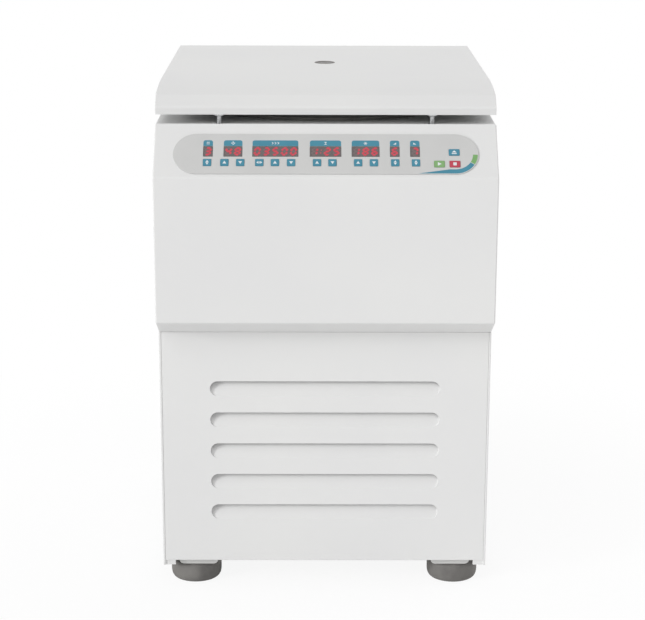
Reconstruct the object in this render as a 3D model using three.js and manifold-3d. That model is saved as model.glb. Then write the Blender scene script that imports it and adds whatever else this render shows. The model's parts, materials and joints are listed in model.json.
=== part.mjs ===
// Floor standing low speed centrifuge: a sheet metal cabinet with a sloping control front, a hinged
// lid over a cooled chamber, and a four bucket swing-out rotor on a vertical motor.
// Millimetres, +Z up, the front faces -Y, the origin is on the floor under the middle of the box.

import * as THREE from "three";
import { mergeVertices } from "three/addons/utils/BufferGeometryUtils.js";
import Module from "manifold-3d";

const wasm = await Module();
wasm.setup();

// Clearances and counts
const fitGap = 0.3;
const cutOverrun = 6;
const bigSides = 48;
const midSides = 24;
const smallSides = 12;
const bendSteps = 3;

// Sheet thicknesses
const sideSheet = 4;
const sideReturnSheet = 2;
const fasciaSheet = 2.5;
const panelSheet = 2;
const rearSheet = 2.5;
const deckSheet = 4;
const baseSheet = 3;
const shelfSheet = 6;
const lidSheet = 3;
const linerSheet = 5;

// Buckets and rotor: the sizes that the chamber and the cabinet follow
const bucketRadius = 46;
const bucketWall = 3;
const bucketFloor = 5;
const bucketAbove = 22;
const bucketBelow = 95;
const bucketChamfer = 14;
const bossRadius = 10;
const bossStandoff = 8;
const bossRootDepth = 1.5;
const bossGap = 2;
const trunnionRadius = 5;
const trunnionGap = 0.5;
const trunnionTipGap = 1;
const bayGap = 2;
const armNeck = 13;
const headOverhang = 43;
const headTall = 40;
const hubRadius = 34;
const hubTall = 54;
const shaftRadius = 10;
const shaftProud = 12;
const nutRadius = 20;
const nutTall = 18;
const nutCap = 5;
const bossReach = bucketRadius + bossStandoff;
const bossRoot = bucketRadius - bossRootDepth;
const bayHalf = bossReach + bossGap;
const bayInner = bayHalf + armNeck;
const pivotRadius = bayInner + Math.hypot(bucketRadius, bucketAbove) + bayGap;
const trunnionReach = bayHalf - bucketRadius - trunnionTipGap;
const headRadius = pivotRadius + headOverhang;
const swingReach = pivotRadius + Math.hypot(bucketRadius - bucketChamfer, bucketBelow);

// Chamber round the swinging buckets
const bucketBowlGap = 5.77;
const bowlWall = 2;
const bowlFlange = 26;
const bowlCorner = 26;
const bowlHole = 32;
const bowlFloorGap = 57;
const mouthClearance = 4;
const guardClearance = 6;
const guardWall = 8;
const gasketMargin = 6;
const gasketWidth = 20;
const gasketLip = 7;
const gasketFoot = 6;
const coilTube = 4.5;
const coilTurns = 6;
const coilPitchShare = 0.122;
const coilLowShare = 0.19;
const bowlRadius = swingReach + bucketBowlGap;
const guardRadius = bowlRadius + bowlWall + bowlFlange + guardClearance;
const gasketRadius = bowlRadius + bowlWall + bowlFlange + gasketMargin;
const guardOuter = guardRadius + guardWall;

// Latch beam between the front and the guard
const latchDepth = 101;
const latchInset = 112;
const beamHalfDepth = 13;
const beamTall = 30;
const beamEnd = 27;
const beamGap = 2;
const strikerRadius = 4.5;
const strikerTall = 48;
const strikerCollar = 9;
const strikerCollarTall = 4;
const eyeWidth = 5;
const eyeTall = 9;
const eyeRise = 4;
const strikerHole = 8;
const boltLength = 34;
const boltWidth = 4.2;
const boltTall = 7;
const boltRest = 1;
const boltTail = 18;

// Cabinet: depths are measured backwards from the front face of the fascia
const sideClearance = 26;
const rearClearance = 44;
const frontSetback = 62;
const slopeRun = 73;
const slopeRise = 79;
const fasciaTall = 261;
const undersideRise = 33;
const deckHeight = 866;
const lidGap = 18;
const lidHeight = 44;
const sideReturn = 19;
const chamberDepth = latchDepth + beamHalfDepth + beamGap + guardOuter;
const cabinetWidth = 2 * (guardOuter + sideSheet + sideClearance);
const cabinetDepth = chamberDepth + guardOuter + rearClearance;
const bendHeight = deckHeight - slopeRise;
const fasciaFootHeight = bendHeight - fasciaTall;
const undersideHeight = fasciaFootHeight - undersideRise;
const latchSide = cabinetWidth / 2 - latchInset;
const beamHalfLength = latchSide + beamEnd;

// Bend radii of the fascia
const bendRadius = 9;
const fasciaFootRadius = 6;
const undersideRadius = 3;

// Base and feet
const footRadius = 46.5;
const footHeight = 38;
const footEdge = 4.5;
const footNeck = 6;
const footInset = 59;
const footPadInset = 65;
const footPadWidth = 72;
const footPadLength = 92;
const footPadCorner = 8;
const skirtDrop = 8;
const skirtClearance = 3;
const baseFlange = 26;
const skirtHeight = footHeight + skirtClearance;
const panelFootHeight = skirtHeight + skirtDrop;
const footSide = cabinetWidth / 2 - footInset;
const footPadSide = cabinetWidth / 2 - footPadInset;
const footDepths = [frontSetback + footInset, cabinetDepth - footInset];

// Louvres of the lower front panel
const louvreCount = 5;
const louvreTopShare = 0.2095;
const louvrePitchShare = 0.134;
const louvreTallShare = 0.479;
const louvreDepth = 9;
const louvreEndInset = 92.5;
const panelTall = undersideHeight - panelFootHeight;
const louvrePitch = panelTall * louvrePitchShare;
const louvreTall = louvrePitch * louvreTallShare;
const louvreTopHeight = undersideHeight - panelTall * louvreTopShare;
const louvreLength = cabinetWidth - 2 * louvreEndInset;
const louvreCornerShare = 0.49;

// Motor on its dampers, from the bowl's floor down to the shelf
const rotorDrop = 114;
const damperRadius = 15;
const damperWaist = 11;
const damperHeight = 30;
const damperInset = 21;
const motorFlange = 126;
const motorFlangeSheet = 9;
const motorRadius = 82;
const motorTall = 128;
const motorShoulder = 14;
const motorBoss = 27;
const motorBossTall = 30;
const motorBowlGap = 18.4;
const shaftSocket = 20;
const shelfFlange = 30;
const rotorHeight = deckHeight - rotorDrop;
const bowlFloorHeight = rotorHeight - bucketBelow - bowlFloorGap;
const motorStack = motorShoulder + motorTall + motorFlangeSheet + damperHeight + 2 * fitGap;
const shelfHeight = bowlFloorHeight - motorBowlGap - motorStack;
const shaftTop = rotorHeight + hubTall / 2 + shaftProud;

// Rear panel vents, inlet and switch
const ventCount = 7;
const ventLength = 160;
const ventRise = 70;
const ventPitchShare = 0.105;
const ventTallShare = 0.28;
const ventInset = 180;
const inletInset = 90;
const inletHeight = 120;
const inletWidth = 40;
const inletTall = 32;
const inletLip = 5;
const inletLipSheet = 3;
const inletDeep = 28;
const inletWall = 4;
const inletFloor = 8;
const pinWide = 6;
const pinSheet = 2.4;
const pinReach = 14;
const pinSpread = 9;
const pinDrop = 5;
const switchSpacing = 80;
const switchWidth = 20;
const switchTall = 28;
const switchBezel = 4;
const switchBezelSheet = 3;
const switchTilt = THREE.MathUtils.degToRad(7);
const switchDeep = 9;
const switchCrown = 3;
const ventSide = cabinetWidth / 2 - ventInset;
const ventLow = inletHeight + ventRise;
const ventPitch = (shelfHeight - ventLow) * ventPitchShare;
const ventTall = ventPitch * ventTallShare;
const inletSide = inletInset - cabinetWidth / 2;
const switchSide = inletSide + switchSpacing;

// Lid
const lidFrontDepth = 80;
const lidFrontLean = 3;
const lidShoulder = 14;
const lidNoseRun = 27;
const lidCrownRun = 160;
const lidCrownRise = 8.5;
const lidBackRadius = 6;
const crownPower = 3;
const nosePower = 1.8;
const plugClearance = 23;
const plugTall = 6;
const lensRadius = 19;
const lensOffset = 65;
const plugRadius = bowlRadius - plugClearance;
const lensDepth = chamberDepth + lensOffset;

// Hinge behind the rear panel
const hingeDrop = 9;
const hingeGap = 0.6;
const hingeStandoff = 3.6;
const hingeLidClearance = 5.6;
const hingeInsetSide = 110;
const knuckleLength = 34;
const earSheet = 5;
const railSheet = 3;
const railTall = 34;
const railMargin = 12;
const rodRadius = 4;
const knuckleRadius = hingeDrop - hingeGap;
const hingeDepth = cabinetDepth + hingeStandoff + knuckleRadius;
const totalDepth = hingeDepth + knuckleRadius + hingeLidClearance;
const hingeSide = cabinetWidth / 2 - hingeInsetSide;

// Cooling unit in the lower bay
const condenserInset = 100;
const condenserSheet = 40;
const condenserStandoff = 16;
const condenserHeadroom = 18;
const finPitch = 16;
const finSheet = 6;
const finWeb = 12;
const shroudSheet = 3;
const shroudRingShare = 0.353;
const shroudRingWall = 4;
const shroudRingDeep = 34;
const spokeWidth = 10;
const podRadius = 26;
const podDeep = 34;
const spindleRadius = 4;
const spindleReach = 18;
const fanHubRadius = 24;
const fanHubDeep = 20;
const fanHubCap = 4;
const fanTipGap = 7;
const fanChord = 34;
const fanBladeSheet = 2.5;
const fanBladeTilt = THREE.MathUtils.degToRad(28);
const fanBladeCount = 5;
const compressorInset = 190;
const compressorBack = 200;
const compressorRadius = 80;
const compressorTallShare = 0.7;
const compressorDome = 34;
const compressorPlate = 190;
const compressorPlateSheet = 14;
const baseTop = panelFootHeight + baseSheet;
const condenserHalf = cabinetWidth / 2 - condenserInset;
const condenserTall = shelfHeight - shelfFlange - condenserHeadroom - baseTop;
const fanHeight = baseTop + fitGap + condenserTall / 2;
const shroudRing = condenserTall * shroudRingShare;
const fanTip = shroudRing - fanTipGap;

// Control front: s runs up the slope from the bend, X across, and the normal points out
const overlayInset = 34.25;
const overlayMargin = 7.4;
const overlayTopMargin = 18.2;
const overlaySheet = 1.5;
const digitPitch = 15.8;
const digitMargin = 1.2;
const windowLowShare = 0.431;
const windowTallShare = 0.2635;
const keyRowShare = 0.2793;
const keySize = 14.2;
const actionRowShare = 0.25;
const actionKeyWidth = 18.6;
const actionKeyTall = 13.2;
const lidKeyShare = 0.5415;
const keyGap = 0.8;
const keyProud = 0.7;
const moduleSunk = 0.3;
const boardSheet = 1.6;
const boardDrop = 10;
const boardMargin = 8;
const standoffRadius = 3;
const slopeLength = Math.hypot(slopeRun, slopeRise);
const slopeAngle = Math.atan2(slopeRise, slopeRun);
const overlayLength = cabinetWidth - 2 * overlayInset;
const overlayWidth = slopeLength - overlayMargin - overlayTopMargin;
const windowLow = overlayMargin + overlayWidth * windowLowShare;
const windowTall = overlayWidth * windowTallShare;
const keyRow = overlayMargin + overlayWidth * keyRowShare;

// Each display group: its digits, then its centre and its keys' places as shares of the overlay's length
const groups = [
  { digits: 1, centreShare: -0.3857, keyShares: { key_program: -0.3876 } },
  { digits: 2, centreShare: -0.3039, keyShares: { key_rotor_up: -0.3311, key_rotor_down: -0.2794 } },
  {
    digits: 5,
    centreShare: -0.1652,
    keyShares: { key_speed_shift: -0.2171, key_speed_up: -0.1661, key_speed_down: -0.1134 },
  },
  { digits: 3.4, centreShare: -0.0009, keyShares: { key_time_up: -0.0288, key_time_down: 0.0216 } },
  { digits: 3, centreShare: 0.1302, keyShares: { key_temp_up: 0.1052, key_temp_down: 0.1569 } },
  { digits: 1, centreShare: 0.2258, keyShares: { key_accel: 0.2265 } },
  { digits: 1, centreShare: 0.292, keyShares: { key_decel: 0.2943 } },
];
const actionKeys = [
  { name: "key_start", finish: "greenKey", acrossShare: 0.3707, upShare: actionRowShare },
  { name: "key_stop", finish: "redKey", acrossShare: 0.4215, upShare: actionRowShare },
  { name: "key_lid", finish: "blueKey", acrossShare: 0.4203, upShare: lidKeyShare },
];

// Derived places
const lidBottom = deckHeight + lidGap;
const lidTop = lidBottom + lidHeight;
const deckUnderside = deckHeight - deckSheet;
const innerHalf = cabinetWidth / 2 - sideSheet - fitGap;
const backOf = (depth) => depth - totalDepth / 2;
const chamberY = backOf(chamberDepth);
const hingeY = backOf(hingeDepth);
const hingeZ = lidBottom - hingeDrop;
const latchY = backOf(latchDepth);
const returnFront = backOf(frontSetback) + panelSheet + fitGap;

// Finishes
const finishes = {
  paint: { color: 0xdfe2e2, roughness: 0.45, metalness: 0.0 },
  darkPaint: { color: 0x5c6165, roughness: 0.5, metalness: 0.1 },
  steel: { color: 0xb9bcbe, roughness: 0.3, metalness: 0.9 },
  zinc: { color: 0xa9adb0, roughness: 0.45, metalness: 0.8 },
  aluminium: { color: 0xc9ccce, roughness: 0.4, metalness: 0.8 },
  copper: { color: 0xb87348, roughness: 0.35, metalness: 0.9 },
  rubber: { color: 0x4d5054, roughness: 0.85, metalness: 0.0 },
  castBlack: { color: 0x26282a, roughness: 0.6, metalness: 0.2 },
  film: { color: 0xc8c8c7, roughness: 0.4, metalness: 0.0 },
  board: { color: 0x2f6b4a, roughness: 0.6, metalness: 0.0 },
  blueKey: { color: 0x3f8ca6, roughness: 0.45, metalness: 0.0 },
  greenKey: { color: 0x79a867, roughness: 0.45, metalness: 0.0 },
  redKey: { color: 0xbe4254, roughness: 0.45, metalness: 0.0 },
  smoke: { color: 0x4b4e51, roughness: 0.15, metalness: 0.0 },
};

// Turns a closed geometry into a solid that can be joined and cut
function solid(geometry) {
  const plain = geometry.clone();
  plain.deleteAttribute("normal");
  plain.deleteAttribute("uv");
  const merged = mergeVertices(plain, 1e-4);
  return new wasm.Manifold(new wasm.Mesh({
    numProp: 3,
    vertProperties: new Float32Array(merged.attributes.position.array),
    triVerts: new Uint32Array(merged.index.array),
  }));
}

function geometryOf(shape) {
  const mesh = shape.getMesh();
  const geometry = new THREE.BufferGeometry();
  geometry.setAttribute("position", new THREE.BufferAttribute(new Float32Array(mesh.vertProperties), 3));
  geometry.setIndex(new THREE.BufferAttribute(new Uint32Array(mesh.triVerts), 1));
  geometry.computeVertexNormals();
  return geometry;
}

const joined = (first, ...rest) => rest.reduce((sum, item) => sum.add(item), first);
const cut = (body, ...tools) => tools.reduce((rest, tool) => rest.subtract(tool), body);

// An outline pushed straight along one axis, between two places on that axis
function extruded(points, length) {
  const shape = new THREE.Shape(points.map(([u, v]) => new THREE.Vector2(u, v)));
  return new THREE.ExtrudeGeometry(shape, { depth: length, bevelEnabled: false });
}

function alongX(points, from, to) {
  const basis = new THREE.Matrix4().set(0, 0, 1, from, 1, 0, 0, 0, 0, 1, 0, 0, 0, 0, 0, 1);
  return solid(extruded(points, to - from).applyMatrix4(basis));
}

function alongY(points, from, to) {
  const basis = new THREE.Matrix4().set(1, 0, 0, 0, 0, 0, -1, to, 0, 1, 0, 0, 0, 0, 0, 1);
  return solid(extruded(points, to - from).applyMatrix4(basis));
}

function alongZ(points, from, to) {
  return solid(extruded(points, to - from).translate(0, 0, from));
}

const rectangle = (u0, u1, v0, v1) => [[u0, v0], [u1, v0], [u1, v1], [u0, v1]];
const block = (x0, x1, y0, y1, z0, z1) => alongZ(rectangle(x0, x1, y0, y1), z0, z1);

// A round bar from one point to another along X, Y or Z
function bar(axis, radius, from, to, across, up, sides = smallSides) {
  const length = to - from;
  const middle = (from + to) / 2;
  const geometry = new THREE.CylinderGeometry(radius, radius, length, sides);
  if (axis === "x") {
    geometry.rotateZ(-Math.PI / 2).translate(middle, across, up);
  } else if (axis === "y") {
    geometry.translate(across, middle, up);
  } else {
    geometry.rotateX(Math.PI / 2).translate(across, up, middle);
  }
  return solid(geometry);
}

// A turned form about Z: the profile is closed or starts and ends on the axis
function turned(profile, sides = bigSides) {
  const points = profile.map(([radius, height]) => new THREE.Vector2(radius, height));
  return solid(new THREE.LatheGeometry(points, sides).rotateX(Math.PI / 2));
}

const closed = (profile) => [...profile, profile[0]];

// Replaces the corners of an outline with arcs; a radius of 0 keeps the corner
function rounded(points, radii, steps = bendSteps) {
  const result = [];
  points.forEach((corner, index) => {
    const radius = radii[index];
    if (!radius) {
      result.push(corner);
      return;
    }
    const here = new THREE.Vector2(...corner);
    const previous = points[(index + points.length - 1) % points.length];
    const next = points[(index + 1) % points.length];
    const before = new THREE.Vector2(...previous).sub(here).normalize();
    const after = new THREE.Vector2(...next).sub(here).normalize();
    const half = Math.acos(THREE.MathUtils.clamp(before.dot(after), -1, 1)) / 2;
    const centre = before.clone().add(after).normalize().multiplyScalar(radius / Math.sin(half)).add(here);
    const start = before.clone().multiplyScalar(radius / Math.tan(half)).add(here).sub(centre);
    const end = after.clone().multiplyScalar(radius / Math.tan(half)).add(here).sub(centre);
    const sweep = Math.atan2(start.x * end.y - start.y * end.x, start.dot(end));
    for (let step = 0; step <= steps; step += 1) {
      const turn = (sweep * step) / steps;
      result.push([
        centre.x + start.x * Math.cos(turn) - start.y * Math.sin(turn),
        centre.y + start.x * Math.sin(turn) + start.y * Math.cos(turn),
      ]);
    }
  });
  return result;
}

// Moves every edge of an anticlockwise outline inwards by the wall
function inset(points, wall) {
  return points.map((corner, index) => {
    const previous = points[(index + points.length - 1) % points.length];
    const next = points[(index + 1) % points.length];
    const a = new THREE.Vector2(corner[0] - previous[0], corner[1] - previous[1]).normalize();
    const b = new THREE.Vector2(next[0] - corner[0], next[1] - corner[1]).normalize();
    const normalA = new THREE.Vector2(-a.y, a.x);
    const normalB = new THREE.Vector2(-b.y, b.x);
    const middle = normalA.clone().add(normalB);
    const scale = (2 * wall) / middle.lengthSq();
    return [corner[0] + middle.x * scale, corner[1] + middle.y * scale];
  });
}

const model = new THREE.Group();
const controls = new THREE.Group();
controls.position.set(0, backOf(0), bendHeight);
controls.rotation.x = slopeAngle;
model.add(controls);

function place(name, shape, finish, parent = model) {
  const material = new THREE.MeshStandardMaterial(finishes[finish]);
  const mesh = new THREE.Mesh(shape.isBufferGeometry ? shape : geometryOf(shape), material);
  mesh.name = name;
  parent.add(mesh);
  return mesh;
}

const sides = [["left", -1], ["right", 1]];

// A flat box between two distances along the control slope, standing in the model's own frame
function slopeBlock(x0, x1, s0, s1, n0, n1) {
  const frame = new THREE.Matrix4().makeRotationX(slopeAngle).setPosition(0, backOf(0), bendHeight);
  const shape = extruded(rectangle(x0, x1, s0, s1), n1 - n0).translate(0, 0, n0);
  return solid(shape.applyMatrix4(frame));
}

const windowHalf = (group) => (group.digits * digitPitch) / 2 + digitMargin;
const centreOf = (group) => group.centreShare * overlayLength;

function makeFascia() {
  const profile = (back) => [
    [backOf(0), bendHeight],
    [backOf(0), fasciaFootHeight],
    [backOf(frontSetback), undersideHeight],
    [backOf(back), undersideHeight],
    [backOf(back), bendHeight + (back * slopeRise) / slopeRun],
  ];
  const outer = rounded(profile(slopeRun), [bendRadius, fasciaFootRadius, undersideRadius, 0, 0]);
  const hollow = inset(profile(slopeRun + cutOverrun), fasciaSheet);
  const half = cabinetWidth / 2;
  const shell = cut(
    alongX(outer, -half, half),
    alongX(hollow, -half + fasciaSheet, half - fasciaSheet),
  );
  const windows = groups.map((group) => slopeBlock(
    centreOf(group) - windowHalf(group) - fitGap,
    centreOf(group) + windowHalf(group) + fitGap,
    windowLow - fitGap,
    windowLow + windowTall + fitGap,
    -fasciaSheet - cutOverrun,
    cutOverrun,
  ));
  place("front_fascia", cut(shell, ...windows), "paint");
}

function makeSidePanels() {
  const outline = [
    [backOf(frontSetback), skirtHeight],
    [backOf(cabinetDepth), skirtHeight],
    [backOf(cabinetDepth), deckUnderside - fitGap],
    [backOf(slopeRun + fitGap), deckUnderside - fitGap],
    [backOf(slopeRun + fitGap), undersideHeight - fitGap],
    [backOf(frontSetback), undersideHeight - fitGap],
  ];
  for (const [side, sign] of sides) {
    const inner = cabinetWidth / 2 - sideSheet;
    const from = sign > 0 ? inner : -cabinetWidth / 2;
    const [r0, r1] = [sign * (inner - sideReturn), sign * (inner + fitGap)].sort((a, b) => a - b);
    const foldTop = undersideHeight - fitGap;
    const fold = block(r0, r1, returnFront, returnFront + sideReturnSheet, skirtHeight, foldTop);
    place(`side_panel_${side}`, alongX(outline, from, from + sideSheet).add(fold), "paint");
  }
}

// A louvre pressed inwards: its mouth opens upwards behind the panel and it runs out flush below
function louvrePart(low, wall, side, overrun) {
  const top = low + louvreTall;
  const front = backOf(frontSetback);
  const reach = louvreLength / 2 - side;
  const ramp = [
    [front - overrun, low],
    [front + wall, low],
    [front + wall + louvreDepth, top],
    [front - overrun, top],
  ];
  const corner = louvreTall * louvreCornerShare - side / 2;
  const outline = rounded(rectangle(-reach, reach, low, top), [corner, corner, corner, corner]);
  const prism = alongY(outline, front - 2 * cutOverrun, front + louvreDepth + 2 * cutOverrun);
  return alongX(ramp, -reach, reach).intersect(prism);
}

function makeLowerPanel() {
  const front = backOf(frontSetback);
  const top = undersideHeight - fitGap;
  let panel = block(-innerHalf, innerHalf, front, front + panelSheet, panelFootHeight, top);
  for (let index = 0; index < louvreCount; index += 1) {
    const low = louvreTopHeight - louvreTall - index * louvrePitch;
    panel = panel.add(louvrePart(low, panelSheet, 0, 0)).subtract(louvrePart(low, 0, panelSheet, cutOverrun));
  }
  place("lower_front_panel", panel, "paint");
}

function makeDeck() {
  const half = cabinetWidth / 2;
  const front = backOf(slopeRun + fitGap);
  const plate = block(-half, half, front, backOf(cabinetDepth), deckUnderside, deckHeight);
  const low = deckUnderside - cutOverrun;
  const high = deckHeight + cutOverrun;
  const mouth = bar("z", bowlRadius + mouthClearance, low, high, 0, chamberY, bigSides);
  const holes = sides.map(([, sign]) => bar("z", strikerHole, low, high, sign * latchSide, latchY));
  place("top_deck", cut(plate, mouth, ...holes), "paint");
}

function makeRearPanel() {
  const back = backOf(cabinetDepth);
  const front = back - rearSheet;
  const panel = block(-innerHalf, innerHalf, front, back, panelFootHeight, deckUnderside - fitGap);
  const tool = (x, z, width, tall) => block(
    x - width / 2, x + width / 2,
    front - cutOverrun, back + switchBezelSheet + cutOverrun,
    z - tall / 2, z + tall / 2,
  );
  const vents = [];
  for (let row = 0; row < ventCount; row += 1) {
    for (const [, sign] of sides) {
      vents.push(tool(sign * ventSide, ventLow + row * ventPitch, ventLength, ventTall));
    }
  }
  const bezelWidth = switchWidth + 2 * switchBezel;
  const bezelTall = switchTall + 2 * switchBezel;
  const bezel = block(
    switchSide - bezelWidth / 2, switchSide + bezelWidth / 2, front, back + switchBezelSheet,
    inletHeight - bezelTall / 2, inletHeight + bezelTall / 2,
  );
  const inletHole = tool(inletSide, inletHeight, inletWidth + 2 * fitGap, inletTall + 2 * fitGap);
  const switchHole = tool(switchSide, inletHeight, switchWidth + 2 * fitGap, switchTall + 2 * fitGap);
  place("rear_panel", cut(panel.add(bezel), inletHole, switchHole, ...vents), "paint");
}

function makeInlet() {
  const back = backOf(cabinetDepth) + fitGap;
  const box = (width, tall, y0, y1) => block(
    inletSide - width / 2, inletSide + width / 2, y0, y1, inletHeight - tall / 2, inletHeight + tall / 2,
  );
  const body = box(inletWidth, inletTall, back - inletDeep, back + inletLipSheet);
  const lip = box(inletWidth + 2 * inletLip, inletTall + 2 * inletLip, back, back + inletLipSheet);
  const hollowWidth = inletWidth - 2 * inletWall;
  const hollowTall = inletTall - 2 * inletWall;
  const floor = back - inletDeep + inletFloor;
  const socket = box(hollowWidth, hollowTall, floor, back + inletLipSheet + cutOverrun);
  const pins = [-1, 0, 1].map((column) => {
    const x = inletSide + column * pinSpread;
    const z = inletHeight - pinDrop;
    return block(
      x - pinSheet / 2, x + pinSheet / 2,
      floor - pinSheet, floor + pinReach,
      z - pinWide / 2, z + pinWide / 2,
    );
  });
  place("mains_inlet", joined(cut(body.add(lip), socket), ...pins), "castBlack");
}

function makeSwitch() {
  const half = switchTall / 2 - fitGap - switchCrown / 2;
  const outline = [[-switchDeep, -half], [0, -half], [-switchCrown / 2, 0], [0, half], [-switchDeep, half]];
  const width = switchWidth / 2 - fitGap;
  const rocker = place("power_switch", alongX(outline, -width, width), "castBlack");
  rocker.position.set(switchSide, backOf(cabinetDepth) + switchBezelSheet + switchCrown / 2, inletHeight);
  rocker.rotation.x = -switchTilt;
}

function makeBase() {
  const front = returnFront + sideReturnSheet + fitGap;
  const back = backOf(cabinetDepth) - rearSheet - fitGap;
  const flangeTop = panelFootHeight + baseFlange;
  const trayHalf = innerHalf - baseSheet;
  const tray = cut(
    block(-innerHalf, innerHalf, front, back, panelFootHeight, flangeTop),
    block(-trayHalf, trayHalf, front + baseSheet, back - baseSheet, baseTop, flangeTop + cutOverrun),
  );
  const pads = [];
  for (const depth of footDepths) {
    for (const [, sign] of sides) {
      const x = sign * footPadSide;
      const y = backOf(depth);
      const [u, v] = [footPadWidth / 2, footPadLength / 2];
      const section = rectangle(x - u, x + u, footHeight + fitGap, baseTop);
      pads.push(alongY(rounded(section, [footPadCorner, footPadCorner, 0, 0]), y - v, y + v));
    }
  }
  place("base_pan", joined(tray, ...pads), "paint");
  let number = 1;
  for (const depth of footDepths) {
    for (const [, sign] of sides) {
      const foot = turned([
        [0, 0], [footRadius - footEdge, 0], [footRadius, footEdge],
        [footRadius, footHeight - footNeck], [footRadius - footNeck, footHeight], [0, footHeight],
      ], midSides);
      place(`foot_${number}`, foot, "rubber").position.set(sign * footSide, backOf(depth), 0);
      number += 1;
    }
  }
}

function makeShelf() {
  const front = backOf(frontSetback) + panelSheet + louvreDepth + fitGap;
  const back = backOf(cabinetDepth) - rearSheet - fitGap;
  const low = shelfHeight - shelfFlange;
  const channel = cut(
    block(-innerHalf, innerHalf, front, back, low, shelfHeight),
    block(-innerHalf - cutOverrun, innerHalf + cutOverrun, front + shelfSheet, back - shelfSheet,
      low - cutOverrun, shelfHeight - shelfSheet),
  );
  place("motor_shelf", channel, "zinc");
}

// The least distance between stretches of a path that lie at least one turn apart
function leastGap(points, perTurn, diameter) {
  let least = Infinity;
  points.forEach((point, index) => {
    for (let other = index + perTurn / 2; other < points.length; other += 1) {
      least = Math.min(least, point.distanceTo(points[Math.floor(other)]));
    }
  });
  return least - diameter;
}

function makeChamber() {
  const top = deckUnderside - fitGap;
  const outer = bowlRadius + bowlWall;
  const floor = bowlFloorHeight;
  const rim = outer + bowlFlange;
  const wall = rounded([
    [bowlHole, floor], [outer, floor], [outer, top - bowlWall], [rim, top - bowlWall],
    [rim, top], [bowlRadius, top], [bowlRadius, floor + bowlWall], [bowlHole, floor + bowlWall],
  ], [0, bowlCorner, 0, 0, 0, 0, bowlCorner - bowlWall, 0]);
  place("chamber_bowl", turned(closed(wall)), "steel").position.set(0, chamberY, 0);

  const barrel = rectangle(guardRadius, guardRadius + guardWall, shelfHeight + fitGap, top);
  place("guard_barrel", turned(closed(barrel)), "darkPaint").position.set(0, chamberY, 0);

  const perTurn = 24;
  const bowlTall = top - floor;
  const coilLow = floor + bowlTall * coilLowShare;
  const coilPitch = bowlTall * coilPitchShare;
  const radius = (outer + fitGap + coilTube) / Math.cos(Math.PI / perTurn);
  class Helix extends THREE.Curve {
    getPoint(share, target = new THREE.Vector3()) {
      const turn = share * coilTurns * 2 * Math.PI;
      const height = coilLow + share * coilTurns * coilPitch;
      return target.set(radius * Math.cos(turn), radius * Math.sin(turn), height);
    }
  }
  const path = new Helix();
  const steps = coilTurns * perTurn;
  const coilGap = leastGap(path.getPoints(steps), perTurn, 2 * coilTube);
  console.log("evaporator coil, least gap", coilGap.toFixed(2));
  const ring = new THREE.Shape();
  for (let side = 0; side < 6; side += 1) {
    const angle = (side * Math.PI) / 3;
    const point = [coilTube * Math.cos(angle), coilTube * Math.sin(angle)];
    if (side === 0) {
      ring.moveTo(...point);
    } else {
      ring.lineTo(...point);
    }
  }
  const tube = new THREE.ExtrudeGeometry(ring, { steps, extrudePath: path, bevelEnabled: false });
  place("evaporator_coil", tube, "copper").position.set(0, chamberY, 0);

  const seat = deckHeight + fitGap;
  const lip = lidBottom - fitGap;
  const inner = gasketRadius - gasketWidth;
  const gasket = [
    [inner, seat], [gasketRadius, seat], [gasketRadius, seat + gasketFoot],
    [gasketRadius - gasketLip, seat + gasketFoot], [gasketRadius - gasketLip / 2, lip],
    [inner + gasketLip / 2, lip], [inner, seat + gasketFoot],
  ];
  place("chamber_gasket", turned(closed(gasket)), "rubber").position.set(0, chamberY, 0);
}

function makeMotor() {
  const seat = shelfHeight + fitGap;
  for (let index = 0; index < 3; index += 1) {
    const angle = Math.PI / 2 + (index * 2 * Math.PI) / 3;
    const damper = turned([
      [0, 0], [damperRadius, 0], [damperWaist, damperHeight / 2],
      [damperRadius, damperHeight], [0, damperHeight],
    ], smallSides);
    const x = (motorFlange - damperInset) * Math.cos(angle);
    const y = chamberY + (motorFlange - damperInset) * Math.sin(angle);
    place(`damper_${index + 1}`, damper, "rubber").position.set(x, y, seat);
  }
  const low = seat + damperHeight + fitGap;
  const bodyLow = low + motorFlangeSheet;
  const bodyTop = bodyLow + motorTall;
  const bossTop = bodyTop + motorShoulder + motorBossTall;
  const bore = shaftRadius + fitGap;
  const socketFloor = bodyLow + shaftSocket;
  place("motor_housing", turned([
    [0, low], [motorFlange, low], [motorFlange, bodyLow], [motorRadius, bodyLow], [motorRadius, bodyTop],
    [motorRadius - motorShoulder, bodyTop + motorShoulder], [motorBoss, bodyTop + motorShoulder],
    [motorBoss, bossTop], [bore, bossTop], [bore, socketFloor], [0, socketFloor],
  ], midSides), "castBlack").position.set(0, chamberY, 0);
  const shaftLow = socketFloor + fitGap;
  const shaft = bar("z", shaftRadius, shaftLow, shaftTop, 0, 0, smallSides);
  place("drive_shaft", shaft, "steel").position.set(0, chamberY, 0);
}

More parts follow.
